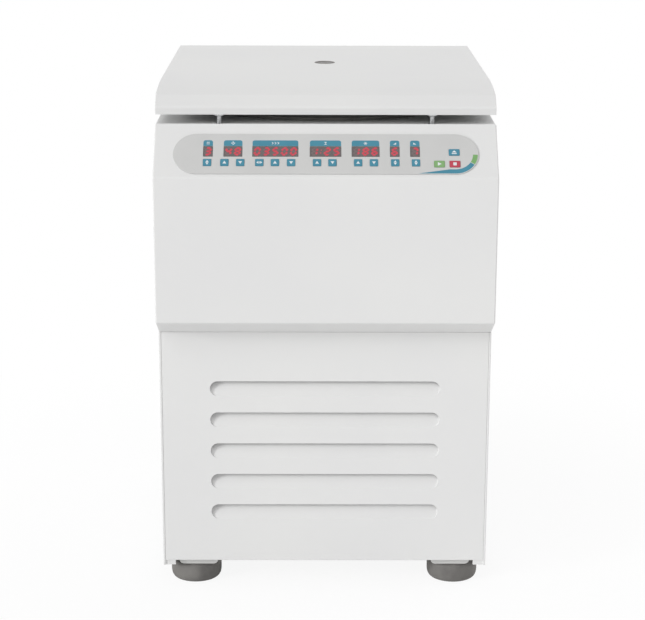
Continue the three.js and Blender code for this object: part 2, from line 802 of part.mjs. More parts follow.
function makeRotor() {
  const low = rotorHeight - headTall / 2;
  const high = rotorHeight + headTall / 2;
  let head = bar("z", headRadius, low, high, 0, 0, bigSides);
  const bayOutline = rectangle(bayInner, headRadius + cutOverrun, -bayHalf, bayHalf);
  const bayRounded = rounded(bayOutline, [bossRadius, 0, 0, bossRadius]);
  const bay = alongZ(bayRounded, low - cutOverrun, high + cutOverrun);
  const pinFrom = bayHalf - trunnionReach;
  const pins = sides.map(([, sign]) => {
    const ends = [sign * pinFrom, sign * (bayHalf + trunnionReach)].sort((a, b) => a - b);
    return bar("y", trunnionRadius, ends[0], ends[1], pivotRadius, rotorHeight);
  });
  for (let quarter = 0; quarter < 4; quarter += 1) {
    head = head.subtract(bay.rotate([0, 0, quarter * 90]));
  }
  for (let quarter = 0; quarter < 4; quarter += 1) {
    head = joined(head, ...pins.map((pin) => pin.rotate([0, 0, quarter * 90])));
  }
  const hub = bar("z", hubRadius, rotorHeight - hubTall / 2, rotorHeight + hubTall / 2, 0, 0, midSides);
  const bore = bar("z", shaftRadius + fitGap, low - hubTall, high + hubTall, 0, 0, smallSides);
  place("rotor_head", cut(head.add(hub), bore), "aluminium").position.set(0, chamberY, 0);

  const nutLow = rotorHeight + hubTall / 2 + fitGap;
  const nutBore = bar("z", shaftRadius + fitGap, nutLow - cutOverrun, shaftTop + fitGap, 0, 0, smallSides);
  const nutTop = Math.max(nutLow + nutTall, shaftTop + nutCap);
  const nut = cut(bar("z", nutRadius, nutLow, nutTop, 0, 0, 6), nutBore);
  place("rotor_nut", nut, "steel").position.set(0, chamberY, 0);

  for (let quarter = 0; quarter < 4; quarter += 1) {
    const angle = (quarter * Math.PI) / 2;
    const bucket = place(`bucket_${quarter + 1}`, bucketSolid(), "steel");
    bucket.position.set(pivotRadius * Math.cos(angle), chamberY + pivotRadius * Math.sin(angle), rotorHeight);
    bucket.rotation.z = angle;
  }
}

// A bucket about its swing axis, which runs along Y through its two bosses
function bucketSolid() {
  const inner = bucketRadius - bucketWall;
  const floor = -bucketBelow + bucketFloor;
  const cup = turned([
    [0, -bucketBelow], [bucketRadius - bucketChamfer, -bucketBelow],
    [bucketRadius, -bucketBelow + bucketChamfer], [bucketRadius, bucketAbove],
    [inner, bucketAbove], [inner, floor + bucketChamfer - bucketWall],
    [inner - bucketChamfer + bucketWall, floor], [0, floor],
  ], midSides);
  const tip = bayHalf - trunnionReach - trunnionGap;
  const bosses = sides.map(([, sign]) => {
    const ends = [sign * bossRoot, sign * bossReach].sort((a, b) => a - b);
    return bar("y", bossRadius, ends[0], ends[1], 0, 0);
  });
  const bores = sides.map(([, sign]) => {
    const ends = [sign * tip, sign * (bossReach + cutOverrun)].sort((a, b) => a - b);
    return bar("y", trunnionRadius + trunnionGap, ends[0], ends[1], 0, 0);
  });
  return cut(joined(cup, ...bosses), ...bores);
}

// The lid's side outline, anticlockwise seen from the right
function lidOutline() {
  const front = backOf(lidFrontDepth);
  const back = totalDepth / 2;
  const shoulder = lidBottom + lidShoulder;
  const crownStart = lidTop - lidCrownRise;
  const nose = [];
  for (let step = 1; step < 2 * bendSteps; step += 1) {
    const angle = (step * Math.PI) / (4 * bendSteps);
    nose.push([
      front + lidNoseRun * (1 - Math.cos(angle) ** (2 / nosePower)),
      shoulder + (crownStart - shoulder) * Math.sin(angle) ** (2 / nosePower),
    ]);
  }
  const crown = [];
  for (let step = 0; step <= 2 * bendSteps; step += 1) {
    const share = step / (2 * bendSteps);
    crown.push([
      front + lidNoseRun + share * lidCrownRun,
      crownStart + lidCrownRise * (1 - (1 - share) ** crownPower),
    ]);
  }
  const upper = [[front + lidFrontLean, lidBottom], [front, shoulder], ...nose, ...crown];
  const corner = rounded([[back, lidTop], [back, lidBottom], [front, lidBottom]], [lidBackRadius, 0, 0]);
  return [...upper, ...corner.slice(0, -1)].reverse();
}

function makeLid() {
  const half = cabinetWidth / 2;
  const outline = lidOutline();
  const hollow = inset(outline, lidSheet).map(([y, z]) => (
    z < lidBottom + 2 * lidSheet ? [y, lidBottom - cutOverrun] : [y, z]
  ));
  const lensY = backOf(lensDepth);
  const shell = cut(
    alongX(outline, -half, half),
    alongX(hollow, -half + lidSheet, half - lidSheet),
    bar("z", lensRadius + fitGap, lidBottom, lidTop + cutOverrun, 0, lensY, midSides),
  );
  place("lid_shell", shell, "paint");

  const inner = half - lidSheet - fitGap;
  const front = backOf(lidFrontDepth) + lidFrontLean + lidSheet + fitGap;
  const back = totalDepth / 2 - lidSheet - fitGap;
  const plate = block(-inner, inner, front, back, lidBottom, lidBottom + linerSheet);
  const plug = bar("z", plugRadius, lidBottom - plugTall, lidBottom + linerSheet / 2, 0, chamberY, bigSides);
  const lensHole = bar("z", lensRadius + fitGap, lidBottom - plugTall - cutOverrun,
    lidBottom + linerSheet + cutOverrun, 0, lensY, midSides);
  const knuckles = [];
  for (const [, sign] of sides) {
    const x0 = sign * hingeSide - knuckleLength / 2;
    const x1 = sign * hingeSide + knuckleLength / 2;
    const [y0, y1] = [hingeY - knuckleRadius, hingeY + knuckleRadius];
    knuckles.push(bar("x", knuckleRadius, x0, x1, hingeY, hingeZ, midSides));
    knuckles.push(block(x0, x1, y0, y1, hingeZ, lidBottom + linerSheet / 2));
  }
  const rodHole = bar("x", rodRadius + fitGap, -half, half, hingeY, hingeZ);
  place("lid_frame", cut(joined(plate, plug, ...knuckles), lensHole, rodHole), "darkPaint");

  const lens = bar("z", lensRadius, lidBottom - plugTall, lidTop, 0, lensY, midSides);
  place("peephole_lens", lens, "smoke");
}

function makeHinge() {
  const outerEnd = hingeSide + knuckleLength / 2 + fitGap + earSheet;
  const plateFront = backOf(cabinetDepth) + fitGap;
  const top = deckUnderside - fitGap;
  const railLow = top - railTall;
  const plateHalf = outerEnd + railMargin;
  const plate = block(-plateHalf, plateHalf, plateFront, plateFront + railSheet, railLow, top);
  const ears = [];
  for (const [, sign] of sides) {
    for (const [, end] of sides) {
      const inside = sign * hingeSide + end * (knuckleLength / 2 + fitGap);
      const from = end > 0 ? inside : inside - earSheet;
      ears.push(bar("x", knuckleRadius, from, from + earSheet, hingeY, hingeZ, midSides));
      ears.push(block(from, from + earSheet, plateFront, hingeY, railLow + knuckleRadius, hingeZ));
    }
  }
  const rodHole = bar("x", rodRadius + fitGap, -outerEnd - cutOverrun, outerEnd + cutOverrun, hingeY, hingeZ);
  place("hinge_rail", cut(joined(plate, ...ears), rodHole), "zinc");
  place("hinge_rod", bar("x", rodRadius, -outerEnd - fitGap, outerEnd + fitGap, hingeY, hingeZ), "steel");
}

function makeLatch() {
  const top = deckUnderside - fitGap;
  const bottom = top - beamTall;
  const strikerTop = lidBottom - fitGap;
  const strikerLow = strikerTop - strikerTall;
  const eyeLow = strikerLow + eyeRise;
  const boltMiddle = eyeLow + eyeTall / 2;
  const [beamFront, beamBack] = [latchY - beamHalfDepth, latchY + beamHalfDepth];
  let beam = block(-beamHalfLength, beamHalfLength, beamFront, beamBack, bottom, top);
  for (const [side, sign] of sides) {
    const x = sign * latchSide;
    beam = beam.subtract(bar("z", strikerHole, bottom - cutOverrun, top + cutOverrun, x, latchY));
    const tip = sign * (latchSide - strikerHole - boltRest);
    const tail = tip - sign * boltLength;
    const grooveEnd = tail - sign * boltTail;
    const halfWidth = boltWidth / 2;
    const [g0, g1] = [grooveEnd, x].sort((a, b) => a - b);
    beam = beam.subtract(block(g0, g1, latchY - halfWidth - fitGap, latchY + halfWidth + fitGap,
      bottom - cutOverrun, boltMiddle + boltTall / 2 + fitGap));
    const [b0, b1] = [tail, tip].sort((a, b) => a - b);
    const [boltLow, boltHigh] = [boltMiddle - boltTall / 2, boltMiddle + boltTall / 2];
    const bolt = block(b0, b1, latchY - halfWidth, latchY + halfWidth, boltLow, boltHigh);
    place(`latch_bolt_${side}`, bolt, "steel");

    const post = bar("z", strikerRadius, strikerLow, strikerTop, x, latchY);
    const collar = bar("z", strikerCollar, strikerTop - strikerCollarTall, strikerTop, x, latchY);
    const [eyeFront, eyeBack] = [latchY - eyeWidth / 2, latchY + eyeWidth / 2];
    const eye = block(x - strikerHole, x + strikerHole, eyeFront, eyeBack, eyeLow, eyeLow + eyeTall);
    place(`latch_striker_${side}`, cut(post.add(collar), eye), "steel");
  }
  place("latch_beam", beam, "zinc");
}

function makeCooling() {
  const seat = baseTop + fitGap;
  const front = backOf(frontSetback) + condenserStandoff;
  const back = front + condenserSheet;
  const top = seat + condenserTall;
  let core = block(-condenserHalf, condenserHalf, front, back, seat, top);
  const grooves = Math.floor((2 * condenserHalf - finSheet) / finPitch);
  for (let index = 0; index < grooves; index += 1) {
    const x0 = -condenserHalf + finSheet + index * finPitch;
    const x1 = x0 + finPitch - finSheet;
    const slot = block(x0, x1, front - cutOverrun, back - finWeb, seat - cutOverrun, top + cutOverrun);
    core = core.subtract(slot);
  }
  place("condenser", core, "aluminium");

  const plateFront = back + fitGap;
  const ringBack = plateFront + shroudRingDeep;
  const disc = (radius, from, to, count = midSides) => bar("y", radius, from, to, 0, fanHeight, count);
  const spokes = [];
  const spokeEnd = shroudRing + shroudRingWall / 2;
  const spokeFront = ringBack - shroudSheet;
  for (let index = 0; index < 3; index += 1) {
    const arm = block(0, spokeEnd, spokeFront, ringBack, -spokeWidth / 2, spokeWidth / 2);
    spokes.push(arm.rotate([0, 90 + index * 120, 0]).translate([0, 0, fanHeight]));
  }
  const plate = block(-condenserHalf, condenserHalf, plateFront, plateFront + shroudSheet, seat, top);
  const ring = disc(shroudRing + shroudRingWall, plateFront, ringBack, bigSides);
  const hole = disc(shroudRing, plateFront - cutOverrun, ringBack + cutOverrun, bigSides);
  const pod = disc(podRadius, ringBack - shroudSheet, ringBack + podDeep);
  const spindleFront = ringBack - shroudSheet - spindleReach;
  const spindle = disc(spindleRadius, spindleFront, ringBack, smallSides);
  place("fan_shroud", joined(cut(plate.add(ring), hole), ...spokes, pod, spindle), "castBlack");

  const hubBack = ringBack - shroudSheet - 2 * fitGap;
  const hubFront = hubBack - fanHubDeep;
  const middle = (hubFront + hubBack) / 2;
  const hub = disc(fanHubRadius, hubFront, hubBack);
  const blades = [];
  for (let index = 0; index < fanBladeCount; index += 1) {
    const blade = new THREE.BoxGeometry(fanTip - fanHubRadius / 2, fanBladeSheet, fanChord);
    blade.rotateX(fanBladeTilt).translate((fanTip + fanHubRadius / 2) / 2, 0, 0);
    blade.rotateY((index * 2 * Math.PI) / fanBladeCount).translate(0, middle, fanHeight);
    blades.push(solid(blade));
  }
  const boreFront = Math.min(hubFront + fanHubCap, spindleFront - fitGap);
  const bore = disc(spindleRadius + fitGap, boreFront, hubBack + cutOverrun, smallSides);
  place("fan_blade", cut(joined(hub, ...blades), bore), "castBlack");

  const compressorTall = condenserTall * compressorTallShare;
  const can = turned([
    [0, seat], [compressorRadius, seat + compressorPlateSheet / 2],
    [compressorRadius, seat + compressorTall - compressorDome],
    [compressorRadius - compressorDome / 3, seat + compressorTall - compressorDome / 3],
    [compressorRadius - compressorDome, seat + compressorTall], [0, seat + compressorTall],
  ], midSides);
  const half = compressorPlate / 2;
  const foot = block(-half, half, -half, half, seat, seat + compressorPlateSheet);
  const compressor = place("compressor", can.add(foot), "castBlack");
  compressor.position.set(cabinetWidth / 2 - compressorInset, backOf(cabinetDepth - compressorBack), 0);
}

function makeControls() {
  const centre = overlayMargin + overlayWidth / 2;
  const endRadius = overlayWidth / 2;
  const halfLength = overlayLength / 2;
  const outline = [];
  for (const sign of [1, -1]) {
    for (let step = 0; step <= midSides / 2; step += 1) {
      const angle = -sign * Math.PI / 2 + (step * Math.PI) / (midSides / 2);
      outline.push([
        sign * (halfLength - endRadius) + endRadius * Math.cos(angle),
        centre + endRadius * Math.sin(angle),
      ]);
    }
  }
  let overlay = alongZ(outline, fitGap, fitGap + overlaySheet);
  const plate = (x, s, width, tall, n0, n1) => block(
    x - width / 2, x + width / 2, s - tall / 2, s + tall / 2, n0, n1,
  );
  const boardTop = -boardDrop;
  const windowMiddle = windowLow + windowTall / 2;
  const boardLeft = centreOf(groups[0]) - windowHalf(groups[0]) - boardMargin;
  const boardRight = centreOf(groups.at(-1)) + windowHalf(groups.at(-1)) + boardMargin;
  let board = block(boardLeft, boardRight, windowLow - boardMargin, windowLow + windowTall + boardMargin,
    boardTop - boardSheet, boardTop);
  for (const x of [boardLeft + boardMargin / 2, boardRight - boardMargin / 2]) {
    const standoffLow = boardTop - boardSheet / 2;
    board = board.add(bar("z", standoffRadius, standoffLow, -fasciaSheet - fitGap, x, windowMiddle));
  }
  const keys = [];
  for (const group of groups) {
    const centreX = centreOf(group);
    const width = 2 * windowHalf(group);
    const [holeWidth, holeTall] = [width + 2 * fitGap, windowTall + 2 * fitGap];
    overlay = overlay.subtract(plate(centreX, windowMiddle, holeWidth, holeTall, -cutOverrun, cutOverrun));
    const face = fitGap + overlaySheet - moduleSunk;
    board = board.add(plate(centreX, windowMiddle, width, windowTall, boardTop - boardSheet / 2, face));
    for (const [name, share] of Object.entries(group.keyShares)) {
      const x = share * overlayLength;
      keys.push({ name, x, s: keyRow, width: keySize, tall: keySize, finish: "blueKey" });
    }
  }
  for (const { name, finish, acrossShare, upShare } of actionKeys) {
    const x = acrossShare * overlayLength;
    const s = overlayMargin + upShare * overlayWidth;
    keys.push({ name, x, s, width: actionKeyWidth, tall: actionKeyTall, finish });
  }
  for (const { name, x, s, width, tall, finish } of keys) {
    overlay = overlay.subtract(plate(x, s, width + 2 * fitGap, tall + 2 * fitGap, -cutOverrun, cutOverrun));
    place(name, plate(x, s, width, tall, keyGap, fitGap + overlaySheet + keyProud), finish, controls);
  }
  place("control_overlay", overlay, "film", controls);
  place("display_board", board, "board", controls);
}

makeBase();
makeLowerPanel();
makeSidePanels();
makeRearPanel();
makeFascia();
makeDeck();
makeShelf();
makeChamber();
makeMotor();
makeRotor();
makeLatch();
makeHinge();
makeLid();
makeCooling();
makeInlet();
makeSwitch();
makeControls();

model.updateMatrixWorld(true);

export default model;
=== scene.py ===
import bpy
import bmesh
import json
from math import acos, atan2, cos, hypot, pi, radians, sin, tan
from mathutils import Matrix, Vector


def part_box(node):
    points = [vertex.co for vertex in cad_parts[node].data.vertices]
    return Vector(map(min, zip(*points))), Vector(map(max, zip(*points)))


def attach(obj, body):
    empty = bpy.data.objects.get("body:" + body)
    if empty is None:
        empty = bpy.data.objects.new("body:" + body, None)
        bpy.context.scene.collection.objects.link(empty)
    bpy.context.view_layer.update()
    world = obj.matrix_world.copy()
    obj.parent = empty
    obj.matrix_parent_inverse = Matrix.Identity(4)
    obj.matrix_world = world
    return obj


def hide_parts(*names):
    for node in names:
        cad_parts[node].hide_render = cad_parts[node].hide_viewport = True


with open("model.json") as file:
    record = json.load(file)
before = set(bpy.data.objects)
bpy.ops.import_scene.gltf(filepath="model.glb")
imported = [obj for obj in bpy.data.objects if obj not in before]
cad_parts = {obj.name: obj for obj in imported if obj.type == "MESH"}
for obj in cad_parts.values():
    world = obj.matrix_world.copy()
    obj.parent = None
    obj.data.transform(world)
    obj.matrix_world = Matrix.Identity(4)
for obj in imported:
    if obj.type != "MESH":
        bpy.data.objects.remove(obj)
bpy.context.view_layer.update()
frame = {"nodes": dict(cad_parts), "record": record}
slotOf = {part["node"]: part["material_slot"] for part in frame["record"]["subparts"]}
bodyOf = {node: body for body, nodes in frame["record"]["behaviour"]["bodies"].items() for node in nodes}
mm = 0.001


# A dictionary of what can be changed on one piece, in millimetres and degrees, also read as attributes
class sizes(dict):
    __getattr__ = dict.__getitem__


# Colours are written as the 0 to 255 levels that a screen shows
def level(red, green, blue):
    return tuple((v / 255 + 0.055) ** 2.4 / 1.055 ** 2.4 if v > 10 else v / 3294.6 for v in (red, green, blue)) + (1.0,)


def linked(name, data):
    made = bpy.data.objects.new(name, data)
    bpy.context.collection.objects.link(made)
    return made


# Points are written in millimetres and kept in metres
def meshOf(name, points, faces, edges=()):
    mesh = bpy.data.meshes.new(name)
    mesh.from_pydata([Vector(point) * mm for point in points], edges, faces)
    return mesh


# Camera, fitted to the corners of the cabinet and lid in the photograph, with its place in metres
view = sizes(place=(-0.0217, -3.4707, 1.3910), pitch=15.125, yaw=0.304, roll=0.159, focal=1828, frame=645, sensor=36)


def addCamera():
    pitch, yaw, roll = (radians(view[key]) for key in ("pitch", "yaw", "roll"))
    forward = Vector((sin(yaw) * cos(pitch), cos(yaw) * cos(pitch), -sin(pitch)))
    right = Vector((cos(yaw), -sin(yaw), 0))
    up = right.cross(forward)
    data = bpy.data.cameras.new("photoCamera")
    data.sensor_width = view.sensor
    data.lens = view.focal * view.sensor / view.frame
    data.clip_end = 200
    camera = linked("photoCamera", data)
    turn = Matrix((cos(roll) * right + sin(roll) * up, cos(roll) * up - sin(roll) * right, -forward))
    camera.matrix_world = Matrix.Translation(view.place) @ turn.transposed().to_4x4()
    bpy.context.scene.camera = camera


addCamera()
bpy.context.scene.view_settings.view_transform = "Standard"
print("camera is in place")


# Nodes for materials and trees. A value is set on a socket, and a socket, or a node by its first output, is linked
families = {"SHADER": "ShaderNode", "GEOMETRY": "GeometryNode"}


def addNode(tree, kind, inputs=None, **settings):
    made = tree.nodes.new(kind if "Node" in kind else families[tree.type] + kind)
    for key, value in settings.items():
        setattr(made, key, value)
    for key, value in (inputs or {}).items():
        if isinstance(value, bpy.types.Node):
            value = value.outputs[0]
        if isinstance(value, bpy.types.NodeSocket):
            tree.links.new(value, made.inputs[key])
        else:
            made.inputs[key].default_value = value
    return made


def emptyTree(block):
    block.use_nodes = True
    block.node_tree.nodes.clear()
    return block.node_tree


# A factor that is 1 for what the camera sees, itself or by the other named rays, and 0 for light that bounces
def seenBy(tree, *rays):
    paths = addNode(tree, "LightPath").outputs
    seen = paths["Is Camera Ray"]
    for ray in rays:
        seen = addNode(tree, "Math", {0: seen, 1: paths[ray]}, operation="MAXIMUM")
    return seen


# Studio light: a pale surround, a lamp low on the left, a weak key above it, and a fill behind on the right.
# Each lamp has its direction, level and spread. The ends of the floor's shading are in metres
studio = sizes(
    surround=0.57, floorTone=0.96, floorShade=0.10, shadeFrom=0.35, shadeTo=1.3, floorReach=60000,
    lamps={"sideLamp": ((-0.86, -0.48, 0.29), 0.49, 16), "keyLamp": ((-0.45, -0.62, 0.72), 0.12, 26),
           "backLamp": ((0.78, 0.58, 0.22), 0.34, 60)},
)


def addStudio():
    world = bpy.data.worlds.new("paleSurround")
    bpy.context.scene.world = world
    tree = emptyTree(world)
    seen = seenBy(tree, "Is Glossy Ray", "Is Transmission Ray")
    strength = addNode(tree, "MapRange", {"Value": seen, "To Min": studio.surround, "To Max": 1.0})
    sky = addNode(tree, "Background", {"Color": (1, 1, 1, 1), "Strength": strength})
    addNode(tree, "OutputWorld", {"Surface": sky})
    for name, (source, power, spread) in studio.lamps.items():
        data = bpy.data.lights.new(name, "SUN")
        data.energy = power * pi
        data.angle = radians(spread)
        linked(name, data).matrix_world = Vector(source).to_track_quat("Z", "Y").to_matrix().to_4x4()

    material = bpy.data.materials.new("paleFloor")
    tree = emptyTree(material)
    place = addNode(tree, "TexCoord").outputs["Object"]
    away = addNode(tree, "VectorMath", {0: place}, operation="LENGTH").outputs["Value"]
    share = addNode(tree, "MapRange", {
        "Value": away, "From Min": studio.shadeFrom, "From Max": studio.shadeTo, "To Min": 1 - studio.floorShade,
        "To Max": 1.0,
    }, interpolation_type="SMOOTHSTEP")
    factor = addNode(tree, "Math", {0: seenBy(tree, "Is Glossy Ray"), 1: share}, operation="MULTIPLY")
    tone = studio.floorTone
    matt = addNode(tree, "BsdfDiffuse", {"Color": (tone, tone, tone, 1)})
    glow = addNode(tree, "Emission", {"Color": (1, 1, 1, 1), "Strength": 1.0})
    addNode(tree, "OutputMaterial", {"Surface": addNode(tree, "MixShader", {0: factor, 1: matt, 2: glow})})
    r = studio.floorReach
    mesh = meshOf("paleFloor", [(-r, -r, 0), (r, -r, 0), (r, r, 0), (-r, r, 0)], [(0, 1, 2, 3)])
    mesh.materials.append(material)
    linked("paleFloor", mesh)


addStudio()
print("floor and light are in place")


# A finish with a slow change of tone, a roughness that wanders a little, and a fine grain. A ring centre turns
# the grain round an axis, flecks add the grain to the tone, and the depth of the relief is in millimetres
def grainedFinish(name, colour, second, patch, grain, rough, depth, relief=0.4, metal=0.0, specular=None, ring=None,
                  stretch=(1, 1, 1), fleck=0, coat=None, glow=0):
    material = bpy.data.materials.new(name)
    tree = emptyTree(material)
    place = addNode(tree, "TexCoord").outputs["Object"]
    if ring:
        shifted = addNode(tree, "VectorMath", {0: place, 1: (-ring[0], -ring[1], 0)}, operation="ADD")
        parts = addNode(tree, "SeparateXYZ", {0: shifted}).outputs
        flat = addNode(tree, "CombineXYZ", {"X": parts["X"], "Y": parts["Y"]})
        radius = addNode(tree, "VectorMath", {0: flat}, operation="LENGTH").outputs["Value"]
        place = addNode(tree, "CombineXYZ", {"X": radius, "Z": parts["Z"]})
    stretched = addNode(tree, "Mapping", {"Vector": place, "Scale": stretch})
    slow = addNode(tree, "TexNoise", {"Vector": place, "Scale": patch, "Detail": 4.0})
    fine = addNode(tree, "TexNoise", {"Vector": stretched, "Scale": grain, "Detail": 3.0, "Roughness": 0.6})
    spread = addNode(tree, "MapRange", {"Value": slow, "From Min": 0.35, "From Max": 0.68})
    if fleck:
        flecks = addNode(tree, "MapRange", {"Value": fine, "From Min": 0.45, "From Max": 0.75, "To Max": fleck})
        spread = addNode(tree, "Math", {0: spread, 1: flecks}, operation="ADD", use_clamp=True)
    tone = addNode(tree, "Mix", {"Factor": spread, "A": level(*colour), "B": level(*second)}, data_type="RGBA")
    wander = addNode(tree, "MapRange", {
        "Value": fine, "From Min": 0.3, "From Max": 0.7, "To Min": rough[0], "To Max": rough[1],
    })
    bump = addNode(tree, "Bump", {"Height": fine, "Strength": relief, "Distance": depth * mm})
    constants = {"Metallic": metal}
    if specular:
        constants["Specular IOR Level"] = specular
    if coat:
        constants["Coat Weight"], constants["Coat Roughness"] = coat
    if glow:
        constants.update({"Emission Color": level(*colour), "Emission Strength": glow})
    shader = addNode(tree, "BsdfPrincipled", {
        "Base Color": tone.outputs["Result"], "Roughness": wander, "Normal": bump, **constants,
    })
    addNode(tree, "OutputMaterial", {"Surface": shader})
    return material


# The frame's material slots come first, then the finishes that only the scene has. Each look lists its two tones,
# the size of their patches and of the grain, the range of its roughness, the depth of its relief, and what is its own
chamberAxis = (0.0, 0.023)
looks = {
    "light_grey_paint": ((227, 227, 226), (224, 224, 224), 3, 900, (0.36, 0.46), 0.10,
                         {"relief": 0.25, "specular": 0.4}),
    "stainless_steel": ((196, 197, 198), (182, 184, 186), 9, 900, (0.22, 0.36), 0.03,
                        {"metal": 1.0, "relief": 0.3, "ring": chamberAxis}),
    "zinc_plate": ((176, 180, 184), (160, 164, 162), 38, 1500, (0.34, 0.5), 0.02, {"metal": 1.0}),
    "cast_aluminium": ((190, 192, 194), (176, 178, 181), 20, 1600, (0.3, 0.42), 0.03,
                       {"metal": 1.0, "ring": chamberAxis}),
    "dark_paint": ((86, 91, 95), (78, 82, 86), 8, 700, (0.42, 0.55), 0.08),
    "lid_liner": ((206, 207, 206), (199, 200, 200), 8, 1400, (0.5, 0.62), 0.10),
    "copper_tube": ((198, 124, 84), (158, 96, 66), 60, 1200, (0.26, 0.42), 0.02, {"metal": 1.0}),
    "grey_rubber": ((107, 105, 103), (123, 121, 118), 28, 1100, (0.68, 0.88), 0.18, {"fleck": 0.35, "specular": 0.35}),
    "black_casting": ((40, 42, 44), (52, 54, 56), 30, 420, (0.42, 0.6), 0.35),
    "black_plastic": ((38, 39, 41), (44, 45, 47), 16, 1600, (0.42, 0.55), 0.08),
    "overlay_film": ((203, 203, 202), (199, 199, 198), 12, 2600, (0.40, 0.50), 0.05, {"fleck": 0.25}),
    "display_window": ((100, 92, 92), (92, 84, 85), 40, 2400, (0.18, 0.26), 0.01, {"coat": (0.4, 0.08)}),
    "smoked_lens": ((134, 132, 129), (120, 118, 116), 60, 900, (0.42, 0.55), 0.02, {"specular": 0.3}),
    "blue_key": ((66, 136, 158), (62, 130, 153), 60, 2600, (0.34, 0.44), 0.04),
    "green_key": ((128, 170, 112), (121, 163, 106), 60, 2600, (0.34, 0.44), 0.04),
    "red_key": ((190, 66, 84), (183, 61, 78), 60, 2600, (0.34, 0.44), 0.04),
    "bluePrint": ((66, 136, 158), (62, 130, 152), 40, 2600, (0.36, 0.46), 0.02),
    "greenPrint": ((124, 172, 108), (118, 165, 102), 40, 2600, (0.36, 0.46), 0.02),
    # Painted shade: the base pan's paint is darker than the housing's, standing in for the shadow under the lower panel
    "shadedBasePaint": ((208, 208, 206), (204, 204, 202), 6, 900, (0.4, 0.5), 0.08, {"relief": 0.25, "specular": 0.4}),
    "whitePrint": ((226, 230, 232), (220, 224, 226), 40, 2600, (0.36, 0.46), 0.02),
    "litSegment": ((196, 66, 80), (188, 60, 74), 90, 2600, (0.4, 0.5), 0.01, {"glow": 0.08}),
    "darkSegment": ((112, 98, 98), (106, 92, 93), 90, 2600, (0.25, 0.35), 0.01),
    "circuitGreen": ((38, 92, 62), (30, 78, 54), 200, 1600, (0.35, 0.5), 0.04),
    "innerSteel": ((205, 206, 207), (190, 192, 194), 12, 1100, (0.24, 0.36), 0.03,
                   {"metal": 1.0, "stretch": (1, 1, 0.05)}),
    "screwSteel": ((190, 192, 194), (172, 174, 178), 300, 1800, (0.24, 0.38), 0.02, {"metal": 1.0}),
}
finishes = {name: grainedFinish(name, *look[:6], **dict(*look[6:])) for name, look in looks.items()}
print("finishes are made:", len(finishes))


# The mesh after some work on its faces
def worked(mesh, change):
    work = bmesh.new()
    work.from_mesh(mesh)
    change(work)
    work.to_mesh(mesh)
    work.free()
    return mesh


def cleaned(mesh, gap=0.002):
    def weld(work):
        bmesh.ops.remove_doubles(work, verts=work.verts, dist=gap * mm)
        bmesh.ops.recalc_face_normals(work, faces=work.faces)
    return worked(mesh, weld)


def joinedMesh(meshes):
    return worked(bpy.data.meshes.new("joined"), lambda work: [work.from_mesh(mesh) for mesh in meshes])


# What an object's modifiers make of it, as a mesh of its own; the object and its helpers go
def evaluated(holder, *helpers):
    result = bpy.data.meshes.new_from_object(holder.evaluated_get(bpy.context.evaluated_depsgraph_get()))
    for used in (holder, *helpers):
        bpy.data.objects.remove(used)
    return result


# The mesh with its modifiers worked in
def baked(mesh, *modifiers):
    holder = linked("holder", mesh)
    for kind, settings in modifiers:
        made = holder.modifiers.new(kind, kind)
        for key, value in settings.items():
            setattr(made, key, value)
    return evaluated(holder)


def thickened(mesh, sheet, even=True):
    return baked(mesh, ("SOLIDIFY", {"thickness": sheet * mm, "offset": -1, "use_even_offset": even}))


def combined(mesh, cuts=(), adds=()):
    tools = [("UNION", linked("tool", item)) for item in adds] + [("DIFFERENCE", linked("tool", item)) for item in cuts]
    result = baked(mesh, *(("BOOLEAN", {"object": tool, "operation": operation, "solver": "EXACT"})
                           for operation, tool in tools))
    for operation, tool in tools:
        bpy.data.objects.remove(tool)
    return result


def softened(mesh, width, segments=2, angle=32):
    return baked(mesh, ("BEVEL", {
        "width": width * mm, "segments": segments, "limit_method": "ANGLE", "angle_limit": radians(angle),
        "miter_outer": "MITER_ARC",
    }))


# A finished piece, of one mesh or a list of them. One that stands for a solid takes that solid's body and slot,
# and the finish is its slot's own unless another is named
def addPiece(name, mesh, node=None, smooth=35, finish=None, slot=None, body="cabinet"):
    slot, body = slotOf.get(node, slot), bodyOf.get(node, body)
    if isinstance(mesh, list):
        mesh = joinedMesh(mesh)
    mesh.materials.clear()
    mesh.materials.append(finishes[finish or slot])
    mesh.shade_smooth()
    mesh.set_sharp_from_angle(angle=radians(smooth))
    mesh = baked(mesh, ("WEIGHTED_NORMAL", {"keep_sharp": True}))
    mesh.name = name
    made = linked(name, mesh)
    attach(made, body)
    if node:
        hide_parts(node)


# A profile where a corner with a third value is cut off that far along both its sides
def eased(corners):
    profile = []
    for index, (x, y, *cut) in enumerate(corners):
        if not cut:
            profile.append((x, y))
            continue
        for other in (corners[index - 1], corners[(index + 1) % len(corners)]):
            share = cut[0] / hypot(other[0] - x, other[1] - y)
            profile.append((x + (other[0] - x) * share, y + (other[1] - y) * share))
    return profile


# A turned form about a vertical axis; a profile that doesn't touch the axis is closed into a ring
def turned(profile, sides=128, centre=(0, 0), height=0, axis=None):
    profile = eased(profile)
    points, faces, rings = [], [], []
    for radius, rise in profile:
        if radius == 0:
            rings.append([len(points)] * sides)
            points.append((*centre, height + rise))
            continue
        rings.append([len(points) + side for side in range(sides)])
        for side in range(sides):
            angle = 2 * pi * side / sides
            points.append((centre[0] + radius * cos(angle), centre[1] + radius * sin(angle), height + rise))
    if profile[0][0] and profile[-1][0]:
        rings.append(rings[0])
    for low, high in zip(rings, rings[1:]):
        for side in range(sides):
            other = (side + 1) % sides
            corners = list(dict.fromkeys((low[side], low[other], high[other], high[side])))
            if len(corners) > 2:
                faces.append(corners)
    if axis == "x":
        points = [(z, x, y) for x, y, z in points]
    if axis == "y":
        points = [(y, z, x) for x, y, z in points]
    return cleaned(meshOf("turned", points, faces))


